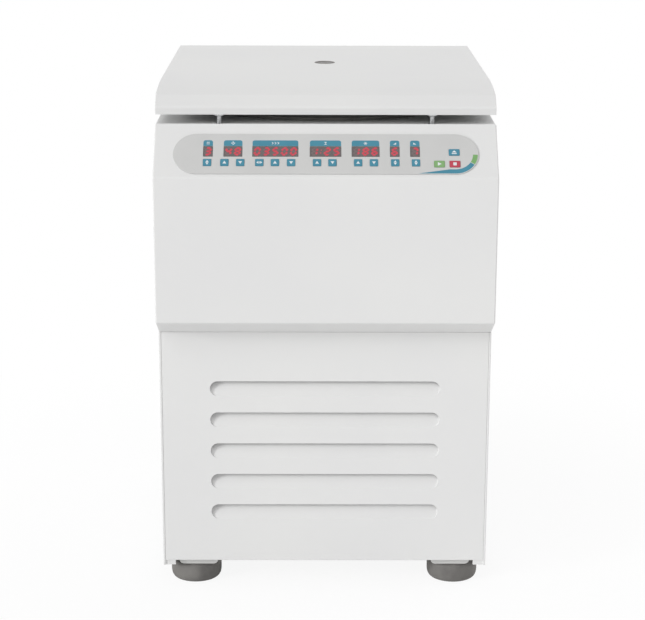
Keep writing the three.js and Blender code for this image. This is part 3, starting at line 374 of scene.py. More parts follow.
# A plain round bar or bore
def drum(radius, low, high, *place, edge=(), **axis):
    return turned([(0, low), (radius, low, *edge), (radius, high), (0, high)], *place, **axis)


def arc(centre, radius, start, end, steps):
    angles = [radians(start + (end - start) * step / steps) for step in range(steps + 1)]
    return [(centre[0] + radius * cos(angle), centre[1] + radius * sin(angle)) for angle in angles]


def circle(centre, radius, sides=128):
    return arc(centre, radius, 0, 360, sides)[:-1]


def box(u0, v0, u1, v1):
    return [(u0, v0), (u1, v0), (u1, v1), (u0, v1)]


def roundedBox(u0, u1, v0, v1, radius, steps=6):
    u0, u1, v0, v1 = u0 + radius, u1 - radius, v0 + radius, v1 - radius
    corners = enumerate(((u1, v0), (u1, v1), (u0, v1), (u0, v0)))
    return [point for turn, corner in corners for point in arc(corner, radius, 90 * turn - 90, 90 * turn, steps)]


def boxAt(centre, halfWide, halfTall, radius, steps=6):
    u, v = centre
    return roundedBox(u - halfWide, u + halfWide, v - halfTall, v + halfTall, radius, steps)


def stadium(reach, radius, centre, across=24, around=24):
    flat = reach - radius
    u, v = centre
    loop = [(u - flat + 2 * flat * step / across, v - radius) for step in range(across)]
    loop += arc((u + flat, v), radius, -90, 90, around)[:-1]
    loop += [(u + flat - 2 * flat * step / across, v + radius) for step in range(across)]
    return loop + arc((u - flat, v), radius, 90, 270, around)[:-1]


def addLoop(work, points):
    corners = [work.verts.new(point) for point in points]
    return [work.edges.new(pair) for pair in zip(corners, corners[1:] + corners[:1])]


# A flat plate with holes, in its own plane, from one height to another, put in place by a matrix
def plate(outer, holes, low, high, place=Matrix()):
    def build(work):
        edges = [edge for loop in (outer, *holes) for edge in addLoop(work, [(u, v, low) for u, v in loop])]
        filled = bmesh.ops.triangle_fill(work, use_beauty=True, edges=edges)["geom"]
        faces = [item for item in filled if isinstance(item, bmesh.types.BMFace)]
        lifted = bmesh.ops.extrude_face_region(work, geom=faces)["geom"]
        corners = [item for item in lifted if isinstance(item, bmesh.types.BMVert)]
        bmesh.ops.translate(work, vec=(0, 0, high - low), verts=corners)
        bmesh.ops.transform(work, matrix=Matrix.Scale(mm, 4) @ place, verts=work.verts)
        bmesh.ops.recalc_face_normals(work, faces=work.faces)
    return worked(bpy.data.meshes.new("plate"), build)


# Planes for plates. The first two stand upright, with v along Z, and are numbered along Y and along X
backPlane = Matrix(((1, 0, 0, 0), (0, 0, 1, 0), (0, 1, 0, 0), (0, 0, 0, 1)))
sidePlane = Matrix(((0, 0, 1, 0), (1, 0, 0, 0), (0, 1, 0, 0), (0, 0, 0, 1)))
slopeUp, slopeOut = Vector((0, 73, 79)).normalized(), Vector((0, -79, 73)).normalized()
slopeFoot = Vector((0, -363, 787))
slopePlane = Matrix(((1, 0, 0, 0), (0, slopeUp.y, slopeOut.y, slopeFoot.y), (0, slopeUp.z, slopeOut.z, slopeFoot.z),
                     (0, 0, 0, 1)))


# A bent or drawn shell: the outline runs along X, its ends are closed and all end edges are rounded over
def sweptShell(outline, half, edge, slide, steps=6):
    count = len(outline)
    sides = []
    for here, after in zip(outline, outline[1:]):
        along = (Vector(after) - Vector(here)).normalized()
        sides.append(Vector((-along.y, along.x)))
    slide = Vector(slide)
    shifts = [slide / slide.dot(sides[0])] + [(a + b) / (1 + a.dot(b)) for a, b in zip(sides, sides[1:])]
    shifts.append(slide / slide.dot(sides[-1]))
    angles = [pi / 2 * step / steps for step in range(steps + 1)]
    stations = [(half - edge + edge * sin(angle), edge * (1 - cos(angle))) for angle in angles]
    stations = [(-x, inset) for x, inset in reversed(stations)] + stations
    points = [(x, y - inset * shift.x, z - inset * shift.y)
              for x, inset in stations for (y, z), shift in zip(outline, shifts)]
    starts = [station * count + index for station in range(len(stations) - 1) for index in range(count - 1)]
    faces = [(a, a + count, a + count + 1, a + 1) for a in starts]
    faces += [tuple(range(count)), tuple(reversed(range(len(points) - count, len(points))))]
    return meshOf("shell", points, faces)


def roundedCorner(before, corner, after, radius, steps=6):
    here = Vector(corner)
    toBefore = (Vector(before) - here).normalized()
    toAfter = (Vector(after) - here).normalized()
    half = acos(max(-1, min(1, toBefore.dot(toAfter)))) / 2
    centre = here + (toBefore + toAfter).normalized() * (radius / sin(half))
    start = here + toBefore * (radius / tan(half)) - centre
    end = here + toAfter * (radius / tan(half)) - centre
    sweep = atan2(start.x * end.y - start.y * end.x, start.dot(end))
    turns = [sweep * step / steps for step in range(steps + 1)]
    return [(centre.x + start.x * cos(turn) - start.y * sin(turn), centre.y + start.x * sin(turn) + start.y * cos(turn))
            for turn in turns]


# Every solid of the frame gets its finish; the pieces below then stand for those that show most
for node, slot in slotOf.items():
    data = frame["nodes"][node].data
    data.materials.clear()
    data.materials.append(finishes[slot])


# Faces that meet at less than this count as one flat face of a solid
flatAngle = radians(2)


# A finer copy of a solid that has the right form already, with its edges rounded
def dressed(node, width, segments=2, finish=None):
    mesh = cleaned(frame["nodes"][node].data.copy(), 0.01)
    worked(mesh, lambda work: bmesh.ops.dissolve_limit(work, angle_limit=flatAngle, verts=work.verts, edges=work.edges))
    addPiece(node + "_dressed", softened(mesh, width, segments), node, finish=finish)


# Trees for what repeats or follows a path. Each ends in real geometry with the finish it is given
def newTree(name, **sockets):
    tree = bpy.data.node_groups.new(name, "GeometryNodeTree")
    for label, kind in {**sockets, "Finish": "Material"}.items():
        tree.interface.new_socket(label, in_out="INPUT", socket_type="NodeSocket" + kind)
    tree.interface.new_socket("Geometry", in_out="OUTPUT", socket_type="NodeSocketGeometry")
    return tree, addNode(tree, "NodeGroupInput").outputs


def shapeOf(tree, given):
    return addNode(tree, "ObjectInfo", {"Object": given}).outputs["Geometry"]


def closeTree(tree, copies, given):
    solid = addNode(tree, "RealizeInstances", {"Geometry": copies})
    painted = addNode(tree, "SetMaterial", {"Geometry": solid, "Material": given["Finish"]})
    addNode(tree, "NodeGroupOutput", {"Geometry": painted})
    return tree


# An even row of one shape
def evenRowTree():
    tree, given = newTree("evenRow", Shape="Object", Count="Int", Start="Vector", Step="Vector")
    line = addNode(tree, "MeshLine", {
        "Count": given["Count"], "Start Location": given["Start"], "Offset": given["Step"],
    }, mode="OFFSET")
    copies = addNode(tree, "InstanceOnPoints", {"Points": line, "Instance": shapeOf(tree, given["Shape"])})
    return closeTree(tree, copies, given)


# One shape at chosen points, each turned its own way
def turnedCopiesTree():
    tree, given = newTree("turnedCopies", Places="Object", Shape="Object", Size="Float")
    turn = addNode(tree, "InputNamedAttribute", {"Name": "turn"}, data_type="FLOAT_VECTOR").outputs["Attribute"]
    copies = addNode(tree, "InstanceOnPoints", {
        "Points": shapeOf(tree, given["Places"]), "Instance": shapeOf(tree, given["Shape"]),
        "Rotation": addNode(tree, "FunctionNodeEulerToRotation", {"Euler": turn}), "Scale": given["Size"],
    })
    return closeTree(tree, copies, given)


# A pipe along a path of points
def pipeTree():
    tree, given = newTree("pipeAlong", Path="Object", Radius="Float", Sides="Int")
    curve = addNode(tree, "MeshToCurve", {"Mesh": shapeOf(tree, given["Path"])})
    ring = addNode(tree, "CurvePrimitiveCircle", {"Resolution": given["Sides"], "Radius": given["Radius"]})
    pipe = addNode(tree, "CurveToMesh", {"Curve": curve, "Profile Curve": ring, "Fill Caps": True})
    return closeTree(tree, pipe, given)


evenRow, turnedCopies, pipeAlong = evenRowTree(), turnedCopiesTree(), pipeTree()


# What a tree makes of its inputs; a mesh goes in as an object that is removed again
def grown(tree, **values):
    holder = linked("holder", bpy.data.meshes.new("holder"))
    modifier = holder.modifiers.new("tree", "NODES")
    modifier.node_group = tree
    helpers = []
    for item in tree.interface.items_tree:
        if item.in_out == "INPUT":
            value = values[item.name]
            if isinstance(value, bpy.types.Mesh):
                value = linked("shape", value)
                helpers.append(value)
            modifier[item.identifier] = value
    return evaluated(holder, *helpers)


def copiesAt(points, turns, shape, finish, size=1.0):
    mesh = meshOf("places", points, [])
    data = mesh.attributes.new("turn", "FLOAT_VECTOR", "POINT").data
    data.foreach_set("vector", [angle for turn in turns for angle in turn])
    return grown(turnedCopies, Places=mesh, Shape=shape, Size=size, Finish=finishes[finish])


def rowOf(shape, count, start, step, finish):
    return grown(evenRow, Shape=shape, Count=count, Start=Vector(start) * mm, Step=Vector(step) * mm,
                 Finish=finishes[finish])


def pipe(points, radius, finish):
    path = meshOf("path", points, [], [(i, i + 1) for i in range(len(points) - 1)])
    return grown(pipeAlong, Path=path, Radius=radius * mm, Sides=12, Finish=finishes[finish])


# Lid: a deep shell with a rounded nose and a slow crown, open below, with the round port in its top
lid = sizes(
    half=300, bottom=884, top=928, front=-283, back=363, lean=3, shoulder=14, noseRun=24, noseRound=6, foldRound=5,
    crownRun=163, crownRise=11, crownPower=3, crownSteps=16, backRadius=6, endEdge=1.3, sheet=3, port=(0, 88),
    portRadius=19.4, portCut=(900, 940), glass=19, glassLow=878,
    portRing=((16.8, 926.4), (19.2, 926.4), (19.8, 928), (19.8, 928.3), (19.3, 928.7), (17.4, 928.7), (16.8, 928.1)),
    glassTop=((19, 926.2), (16.1, 926.3), (16.1, 927.3), (12, 927.9), (6, 928.3), (0, 928.4)),
)


def makeLid():
    low = (lid.front + lid.lean, lid.bottom)
    shoulder = (lid.front, lid.bottom + lid.shoulder)
    shares = [step / lid.crownSteps for step in range(lid.crownSteps + 1)]
    crown = [(lid.front + lid.noseRun + share * lid.crownRun, lid.top - lid.crownRise * (1 - share) ** lid.crownPower)
             for share in shares]
    outline = [low] + roundedCorner(low, shoulder, crown[0], lid.noseRound, 6)
    outline += roundedCorner(shoulder, crown[0], crown[1], lid.foldRound, 4) + crown[1:]
    outline += arc((lid.back - lid.backRadius, lid.top - lid.backRadius), lid.backRadius, 90, 0, 8)
    outline.append((lid.back, lid.bottom))
    shell = thickened(sweptShell(outline, lid.half, lid.endEdge, (1, 0)), lid.sheet)
    shell = combined(shell, cuts=[drum(lid.portRadius, *lid.portCut, 64, lid.port)])
    addPiece("lidShell", shell, "lid_shell", 7)
    addPiece("portRing", turned(lid.portRing, 64, lid.port), slot="smoked_lens", body="lid")
    glass = turned([(0, lid.glassLow), (lid.glass, lid.glassLow), *lid.glassTop], 64, lid.port)
    addPiece("portLens", glass, "peephole_lens", 40)


liner = sizes(
    half=296.7, front=-276.7, back=359.7, low=884, high=889, corner=5, edge=0.8, bore=19.3, boreCut=(870, 890),
    knuckleSide=190, knuckleHalf=17, knuckleRadius=8.4, knuckleEdge=0.5, rodRadius=4.3, axis=(349, 875),
    plug=((0, 884.4), (202, 884.4), (205, 884.0), (205, 880.5), (204.2, 878.8), (202.5, 878), (176, 878), (174, 878.9),
          (60, 878.9), (58.5, 878), (0, 878)),
)
chamber = (0, 23)


def makeLidLiner():
    outer = roundedBox(-liner.half, liner.half, liner.front, liner.back, liner.corner)
    sheet = softened(plate(outer, [circle(lid.port, liner.bore, 64)], liner.low, liner.high), liner.edge)
    bore = drum(liner.bore, *liner.boreCut, 64, lid.port)
    parts = [sheet, combined(turned(liner.plug, 160, chamber), cuts=[bore])]
    y, z = liner.axis
    half, radius, bore, edge = liner.knuckleHalf, liner.knuckleRadius, liner.rodRadius, liner.knuckleEdge
    for x in (-liner.knuckleSide, liner.knuckleSide):
        barrel = turned([(bore, x - half), (radius, x - half, edge), (radius, x + half, edge), (bore, x + half)],
                        64, liner.axis, axis="x")
        parts += [barrel, plate(boxAt((x, y), half, radius, 1), [], z + 5, liner.low + 1)]
    addPiece("lidLiner", parts, "lid_frame", 30)


makeLid()
makeLidLiner()
print("lid is made")


# Front housing: sloping control face, tall front and slanted foot, bent from one sheet
fascia = sizes(half=300, open=-287.3, foot=493, panelLine=-301, face=-363, footHeight=526, bend=787, deck=869,
               radii=(3, 5, 8), endEdge=2.6, sheet=2.5)
# Each group of digits has its centre across, what it shows, and its width in digits
displayGroups = [(-205.0, "3", 1), (-161.5, "48", 2), (-87.8, "03500", 5), (-0.5, "1:25", 3.4), (69.2, "186", 3),
                 (120.0, "6", 1), (155.2, "7", 1)]
displays = sizes(low=42.7, high=63.8, pitch=15.8, margin=0.4, corner=0.8, gap=0.3, cutLow=-8, cutHigh=6)


def windowBox(group, grow=0):
    half = group[2] * displays.pitch / 2 + displays.margin + grow
    return group[0] - half, group[0] + half, displays.low - grow, displays.high + grow


def windowLoop(group, grow=0, steps=3):
    return roundedBox(*windowBox(group, grow), displays.corner, steps)


def makeFascia():
    f = fascia
    corners = [(f.open, f.foot), (f.panelLine, f.foot), (f.face, f.footHeight), (f.face, f.bend), (f.open, f.deck)]
    outline = [corners[0]]
    for index, radius in enumerate(f.radii):
        outline += roundedCorner(*corners[index:index + 3], radius, 8)
    outline.append(corners[-1])
    shell = thickened(sweptShell(outline, f.half, f.endEdge, (0, 1)), f.sheet)
    holes = [plate(windowLoop(group, displays.gap, 2), [], displays.cutLow, displays.cutHigh, slopePlane)
             for group in displayGroups]
    addPiece("frontHousing", combined(shell, cuts=[joinedMesh(holes)]), "front_fascia", 28)


makeFascia()
print("front housing is made")


# Lower front panel with its pressed louvres
panel = sizes(half=295.7, low=51.5, high=492.7, front=-301, sheet=2, corner=1.5)
louvre = sizes(count=5, top=400, pitch=59.5, reach=209.2, tall=28.5, deep=12.0, rim=1.4, ease=0.9, bend=0.92, lip=0.01,
               rings=(0.01, 0.5, 1.0, 1.6, 2.3, 3.0, 4.0, 5.5, 7.5, 10.0, 12.5), last=0.02, across=24)


def louvreDepth(x, rise):
    radius = louvre.tall / 2
    past = max(abs(x) - louvre.reach + radius, 0)
    share = max(0, min(1, (rise + radius) / louvre.tall))
    inside = louvre.reach - abs(x) if rise >= 0 else radius - hypot(past, rise)
    ease = max(0, min(1, inside / louvre.ease))
    return louvre.deep * share ** louvre.bend * ease * (2 - ease)


# One louvre: a flat rim, then rings that step inwards and down, welded where they are still flush
def louvreShape():
    radius = louvre.tall / 2
    points = [(x, 0, z) for grow in (louvre.rim, louvre.lip)
              for x, z in stadium(louvre.reach + grow, radius + grow, (0, 0))]
    count = len(points) // 2
    faces = [(i, (i + 1) % count, count + (i + 1) % count, count + i) for i in range(count)]
    previous = []
    for inset in (*louvre.rings, radius - louvre.last):
        ring = []
        for index, (x, z) in enumerate(stadium(louvre.reach - inset, radius - inset, (0, 0))):
            depth = louvreDepth(x, z)
            if not previous and depth < 0.03:
                ring.append(count + index)
                continue
            ring.append(len(points))
            points.append((x, depth, z))
        if previous:
            faces += [(previous[i], previous[(i + 1) % count], ring[(i + 1) % count], ring[i]) for i in range(count)]
        previous = ring
    far = count // 2 + louvre.across
    for i in range(louvre.across):  # the last loop is almost a line, so its two long sides are joined
        faces.append((previous[i], previous[i + 1], previous[far - 1 - i], previous[(far - i) % count]))
    return cleaned(meshOf("louvre", points, faces), 0.06)


def makeLowerPanel():
    centres = [louvre.top - louvre.tall / 2 - louvre.pitch * index for index in range(louvre.count)]
    radius = louvre.tall / 2 + louvre.rim
    loops = [roundedBox(-panel.half, panel.half, panel.low, panel.high, panel.corner, 3)]
    loops += [stadium(louvre.reach + louvre.rim, radius, (0, z)) for z in centres]

    def fill(work):
        loopPoints = ([(x * mm, panel.front * mm, z * mm) for x, z in loop] for loop in loops)
        edges = [edge for points in loopPoints for edge in addLoop(work, points)]
        bmesh.ops.triangle_fill(work, use_beauty=True, edges=edges)

    def faceFront(work):
        if sum(face.normal.y * face.calc_area() for face in work.faces) > 0:
            bmesh.ops.reverse_faces(work, faces=work.faces)

    sheet = worked(bpy.data.meshes.new("sheet"), fill)
    row = rowOf(louvreShape(), louvre.count, (0, panel.front, centres[0]), (0, 0, -louvre.pitch), "light_grey_paint")
    whole = worked(cleaned(joinedMesh([sheet, row]), 0.05), faceFront)
    addPiece("louvredPanel", thickened(whole, panel.sheet, False), "lower_front_panel", 30)


makeLowerPanel()
print("louvred panel is made")


# Top deck round the chamber mouth, the seal that stands on it, and the bowl that hangs in it
deck = sizes(half=300, front=-289.7, back=337, low=862, high=866, edge=0.9, mouth=232, postHole=8,
             posts=((-188, -262), (188, -262)))
seal = sizes(inner=242, outer=262, seat=866.3, side=(
    (0.6, 0), (0, 0.6), (0, 5.2), (0.8, 6), (5.6, 6.4), (4.6, 9), (4.9, 12.5), (6.6, 16), (9.4, 17.4)))
bowl = sizes(radius=228, wall=2, floor=600, top=861.7, corner=26, hole=32, flange=26, mouthEdge=2,
             holeSide=((1, 2), (0, 6), (-1, 5)))


def makeDeck():
    holes = [circle(chamber, deck.mouth, 160)] + [circle(place, deck.postHole, 40) for place in deck.posts]
    outer = box(-deck.half, deck.front, deck.half, deck.back)
    addPiece("topDeck", softened(plate(outer, holes, deck.low, deck.high), deck.edge, 3), "top_deck", 30)

    profile = [(seal.inner + seal.side[0][0], seal.seat)]
    profile += [(seal.outer - inset, seal.seat + rise) for inset, rise in seal.side]
    profile += [(seal.inner + inset, seal.seat + rise) for inset, rise in reversed(seal.side[1:])]
    addPiece("chamberSeal", turned(profile, 192, chamber), "chamber_gasket", 40)


def makeBowl():
    b = bowl
    outer, brim = b.radius + b.wall, b.radius + b.wall + b.flange
    profile = [(b.hole, b.floor)] + arc((outer - b.corner, b.floor + b.corner), b.corner, -90, 0, 12)
    profile += [(outer, b.top - b.wall), (brim, b.top - b.wall), (brim, b.top), (b.radius, b.top, b.mouthEdge)]
    profile += arc((b.radius - b.corner + b.wall, b.floor + b.corner), b.corner - b.wall, 0, -90, 12)
    profile += [(b.hole + out, b.floor + rise) for out, rise in b.holeSide]
    addPiece("chamberBowl", turned(profile, 192, chamber), "chamber_bowl")


makeDeck()
makeBowl()
print("deck, seal and bowl are made")


# Feet: rounded rubber pads under the corners, with the side given as insets and heights
feet = sizes(
    radius=47.2, places=((-242, -242), (242, -242), (-242, 278), (242, 278)),
    side=((7, 0), (4.6, 0.6), (2.8, 2.4), (1.2, 5.5), (0.3, 9.5), (0, 14), (0, 29), (0.6, 32), (2.2, 34.6), (5, 36.8),
          (8, 38)),
)
for index, place in enumerate(feet.places, 1):
    profile = [(0, 0)] + [(feet.radius - inset, rise) for inset, rise in feet.side] + [(0, feet.side[-1][1])]
    addPiece("rubberFoot%d" % index, turned(profile, 96, place), "foot_%d" % index, 40)


# Control film on the slope, with its display windows, number segments and keys. Heights are above the slope
film = sizes(reach=265.75, low=7.4, high=89.4, under=0.3, top=1.8, print=0.06, edge=0.25, keyGap=0.3,
             keyCorner=1.6, windowGap=0.25, sunk=0.1)
headers = sizes(low=64.2, high=76.0, corner=4.0, markSize=0.9, markHeight=0.10)
pane = sizes(low=1.45, high=1.72, digits=1.6, lit=1.80, unlit=1.75)
cap = sizes(low=0.8, top=2.5, corner=1.5, cornerShare=0.6, wideFrom=16, wideTall=13.2, markLow=2.46, markTop=2.56,
            rounding=((0, 0.5), (0.12, 0.2), (0.4, 0.05), (0.9, 0)))
segments = sizes(wide=12.0, tall=17.4, stroke=4.2, gap=0.2, lean=9, colonWide=0.4, colonShift=0.3, dot=1.1,
                 dots=((0.5, 3), (-0.5, -3)))
segmentMap = {"0": "abcdef", "1": "bc", "2": "abdeg", "3": "abcdg", "4": "bcfg", "5": "acdfg", "6": "acdefg",
              "7": "abc", "8": "abcdefg", "9": "abcdfg"}
marks = {
    "up": [[(-3.3, -2.4), (3.3, -2.4), (0, 3.2)]],
    "down": [[(-3.3, 2.4), (0, -3.2), (3.3, 2.4)]],
    "both": [[(-2.7, 0.4), (2.7, 0.4), (0, 4.7)], [(-2.7, -0.4), (0, -4.7), (2.7, -0.4)]],
    "shift": [[(-1.5, -2.7), (-1.5, 2.7), (-5.2, 0)], [(1.5, -2.7), (5.2, 0), (1.5, 2.7)],
              box(-0.6, -2.2, 0.6, 2.2)],
    "play": [[(-2.8, -3.6), (3.8, 0), (-2.8, 3.6)]],
    "stop": [box(-3, -3, 3, 3)],
    "open": [[(-4.2, -0.4), (4.2, -0.4), (0, 3.8)], box(-4.2, -3.6, 4.2, -1.8)],
}
keyMarks = {"program": "both", "rotor_up": "up", "rotor_down": "down", "speed_shift": "shift", "speed_up": "up",
            "speed_down": "down", "time_up": "up", "time_down": "down", "temp_up": "up", "temp_down": "down",
            "accel": "both", "decel": "both", "start": "play", "stop": "stop", "lid": "open"}
headerMarks = [
    [box(-3, 1.2, 3, 2.6), box(-3, -2.6, 3, -1.2)],
    [circle((x, y), 1.3, 12) for x, y in ((-2.4, 0), (2.4, 0), (0, 2.4), (0, -2.4))],
    [[(x, -2.6), (x + 1.6, -2.6), (x + 4.2, 0), (x + 1.6, 2.6), (x, 2.6), (x + 2.6, 0)] for x in (-7.5, -2.1, 3.3)],
    [[(-2.8, 3), (0, 0.2), (2.8, 3)], [(-2.8, -3), (2.8, -3), (0, -0.2)]],
    [box(-3.4, -0.6, 3.4, 0.6),
     *([(2.1 * u, -2.9), (1.1 * u, -3.4), (-2.1 * u, 2.9), (-1.1 * u, 3.4)] for u in (-1, 1))],
    [[(-3, -2.6), (3, 2.0), (3, -2.6)]],
    [[(-3, -2.6), (3, -2.6), (-3, 2.0)]],
]
# The film's plain band: each colour has where it starts on the lower edge, how far its end slants, and its two angles
rim = sizes(inset=1.3, wide=8.5, bands={"blue": ((160, 55), -90, -33), "green": (None, -31.5, -2)})


def raised(shapes, low, high, x, s):
    place = slopePlane @ Matrix.Translation((x, s, 0))
    return joinedMesh([plate(shape, [], low, high, place) for shape in shapes])


# The lit or unlit bars of a digit, each pointed at both ends
def digitShapes(names):
    stroke = segments.stroke / 2
    w, h = segments.wide / 2 - stroke, segments.tall / 2 - stroke
    ends = {"a": (-w, h, w, h), "b": (w, h, w, 0), "c": (w, 0, w, -h), "d": (-w, -h, w, -h), "e": (-w, 0, -w, -h),
            "f": (-w, h, -w, 0), "g": (-w, 0, w, 0)}
    slant = tan(radians(segments.lean))
    shapes = []
    for name in names:
        start, end = Vector(ends[name][:2]), Vector(ends[name][2:])
        along = (end - start).normalized()
        start, end = start + along * segments.gap, end - along * segments.gap
        tip, across = along * stroke, Vector((-along.y, along.x)) * stroke
        bar = (start, start + tip - across, end - tip - across, end, end - tip + across, start + tip + across)
        shapes.append([(u + v * slant, v) for u, v in bar])
    return shapes


def keyCap(width, tall, x, s):
    levels = [(0, cap.low)] + [(inset, cap.top - drop) for inset, drop in cap.rounding]
    points = [(u, v, height) for inset, height in levels for u, v in
              boxAt((0, 0), width / 2 - inset, tall / 2 - inset, cap.corner - inset * cap.cornerShare, 5)]
    count = len(points) // len(levels)
    faces = [(a + i, a + (i + 1) % count, a + count + (i + 1) % count, a + count + i)
             for a in range(0, len(points) - count, count) for i in range(count)]
    faces += [tuple(reversed(range(count))), tuple(range(len(points) - count, len(points)))]
    mesh = meshOf("cap", points, faces)
    mesh.transform(Matrix.Scale(mm, 4) @ slopePlane @ Matrix.Translation((x, s, 0)) @ Matrix.Scale(1 / mm, 4))
    return mesh


def makeDisplays():
    top, low, high, corner = film.top, headers.low, headers.high, headers.corner
    panes, bars, prints, lit, unlit = [], [], [], [], []
    for group, mark in zip(displayGroups, headerMarks):
        x, shown = group[:2]
        u0, u1, v0, v1 = windowBox(group)
        panes.append(plate(windowLoop(group), [], pane.low, pane.high, slopePlane))
        bar = [(u0, low), (u1, low)] + arc((u1 - corner, high - corner), corner, 0, 90, 6)
        bar += arc((u0 + corner, high - corner), corner, 90, 180, 6)
        bars.append(plate(bar, [], top - film.sunk, top + film.print, slopePlane))
        small = [[(u * headers.markSize, v * headers.markSize) for u, v in shape] for shape in mark]
        prints.append(raised(small, top, top + headers.markHeight, x, (low + high) / 2))
        across = -(sum(segments.colonWide if sign == ":" else 1 for sign in shown) - 1) / 2
        for sign in shown:
            if sign == ":":
                across -= segments.colonShift
                dots = [circle(place, segments.dot, 12) for place in segments.dots]
                lit.append(raised(dots, pane.digits, pane.lit, x + across * displays.pitch, (v0 + v1) / 2))
                across += segments.colonShift + segments.colonWide
                continue
            place = (x + across * displays.pitch, (v0 + v1) / 2)
            lit.append(raised(digitShapes(segmentMap[sign]), pane.digits, pane.lit, *place))
            off = [name for name in "abcdefg" if name not in segmentMap[sign]]
            if off:
                unlit.append(raised(digitShapes(off), pane.digits, pane.unlit, *place))
            across += 1
    for name, group, finish, slot in (
            ("displayPanes", panes, None, "display_window"), ("displayHeaders", bars, "bluePrint", "blue_key"),
            ("headerMarks", prints, "whitePrint", "overlay_film"), ("litSegments", lit, "litSegment", "red_key"),
            ("darkSegments", unlit, "darkSegment", "display_window")):
        addPiece(name, group, finish=finish, slot=slot)


def makeControls():
    keys = {}
    for name in keyMarks:
        low, high = (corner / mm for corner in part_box("key_" + name))
        middle, width = (low + high) / 2 - slopeFoot, high.x - low.x
        keys[name] = (middle.x, middle.dot(slopeUp), width, cap.wideTall if width > cap.wideFrom else width)
    radius = (film.high - film.low) / 2
    centre = (film.high + film.low) / 2
    holes = [windowLoop(group, film.windowGap) for group in displayGroups]
    holes += [boxAt((x, s), width / 2 + film.keyGap, tall / 2 + film.keyGap, film.keyCorner, 4)
              for x, s, width, tall in keys.values()]
    sheet = plate(stadium(film.reach, radius, (0, centre), 6, 48), holes, film.under, film.top, slopePlane)
    addPiece("controlFilm", softened(sheet, film.edge), "control_overlay", 30)
    makeDisplays()
    for name, (start, first, last) in rim.bands.items():
        outer, inner = radius - rim.inset, radius - rim.inset - rim.wide
        middle = (film.reach - radius, centre)
        band = arc(middle, outer, first, last, 24) + arc(middle, inner, last, first, 24)
        if start:
            band = [(start[0], centre - outer)] + band + [(sum(start), centre - inner)]
        addPiece(name + "Stripe", plate(band, [], film.top - film.sunk, film.top + film.print, slopePlane),
                 finish=name + "Print", slot=name + "_key")
    for name, (x, s, width, tall) in keys.items():
        node = "key_" + name
        addPiece(node + "_cap", keyCap(width, tall, x, s), node, 40)
        symbol = raised(marks[keyMarks[name]], cap.markLow, cap.markTop, x, s)
        addPiece(node + "_mark", symbol, finish="whitePrint", slot="overlay_film", body=node)


makeControls()
print("controls are made")


# Rear panel: two columns of rounded vents, a raised switch frame and the inlet's opening
rear = sizes(half=295.7, low=49, high=861.7, inside=334.5, face=337, edge=0.5, ventRows=7, ventLow=190, ventPitch=22.05,
             ventTall=6.17, ventHalf=80, ventSide=120, inlet=(-210, 120), inletHole=(20.3, 16.3, 2.2, 4),
             switch=(-130, 120), switchHole=(10.3, 14.3, 0.8, 3), bezel=(14, 18, 2.6, 5), bezelTall=3, bezelIn=0.2,
             bezelEdge=0.9, corner=1.5)
inlet = sizes(back=337.3, rim=(25, 21, 4, 5), body=(20, 16, 2), lip=3, lipEdge=0.7, deep=22, wallEnd=0.2, shut=28,
              floorEnd=19.9, pin=(1.2, 3, 0.6, 3), pinEdge=0.4, pinPitch=9, pinDrop=5, pinEnd=6,
              socket=((-16, -12), (16, -12), (16, 6), (10, 12), (-10, 12), (-16, 6)))
rocker = sizes(rise=4.5, tilt=-7, face=0.75, reach=6.5, slant=6.6, low=-0.1, high=0.12, bar=(0.7, 3, 0.3, 2),
               ring=(3, 2))


def makeRear():
    r = rear
    holes = [stadium(r.ventHalf, r.ventTall / 2, (side, r.ventLow + row * r.ventPitch), 4, 8)
             for row in range(r.ventRows) for side in (-r.ventSide, r.ventSide)]
    opening = boxAt(r.switch, *r.switchHole)
    holes += [boxAt(r.inlet, *r.inletHole), opening]
    outer = roundedBox(-r.half, r.half, r.low, r.high, r.corner, 3)
    sheet = softened(plate(outer, holes, r.inside, r.face, backPlane), r.edge)
    bezel = plate(boxAt(r.switch, *r.bezel), [opening], r.inside + r.bezelIn, r.face + r.bezelTall, backPlane)
    addPiece("rearSheet", [sheet, softened(bezel, r.bezelEdge, 3)], "rear_panel", 30)

    x, z = r.inlet
    back = inlet.back
    socket = [(x + u, z + v) for u, v in inlet.socket]
    lip = softened(plate(boxAt(r.inlet, *inlet.rim), [socket], back, back + inlet.lip, backPlane), inlet.lipEdge, 3)
    body = boxAt(r.inlet, *inlet.body)
    wall = plate(body, [socket], back - inlet.deep, back + inlet.wallEnd, backPlane)
    floor = plate(body, [], back - inlet.shut, back - inlet.floorEnd, backPlane)
    addPiece("inletHousing", [lip, wall, floor], "mains_inlet")
    pins = [plate(boxAt((x + side * inlet.pinPitch, z - inlet.pinDrop), *inlet.pin), [], back - inlet.deep,
                  back - inlet.pinEnd, backPlane) for side in (-1, 0, 1)]
    addPiece("inletPins", [softened(pin, inlet.pinEdge) for pin in pins], finish="screwSteel", slot="stainless_steel")

    dressed("power_switch", 0.7, 3)
    x, z = r.switch
    hub = Matrix.Translation((x, r.face + rocker.rise, z)) @ Matrix.Rotation(radians(rocker.tilt), 4, "X")
    signs = []
    ring, hole = (circle((0, 0), radius, 32) for radius in rocker.ring)
    for side, shape, holes in ((1, boxAt((0, 0), *rocker.bar), []), (-1, ring, [hole])):
        face = Matrix.Translation((0, -rocker.face, side * rocker.reach))
        face @= Matrix.Rotation(radians(-rocker.slant * side), 4, "X")
        signs.append(plate(shape, holes, rocker.low, rocker.high, hub @ face @ backPlane))
    addPiece("switchSigns", signs, finish="whitePrint", slot="overlay_film", body="power_switch")


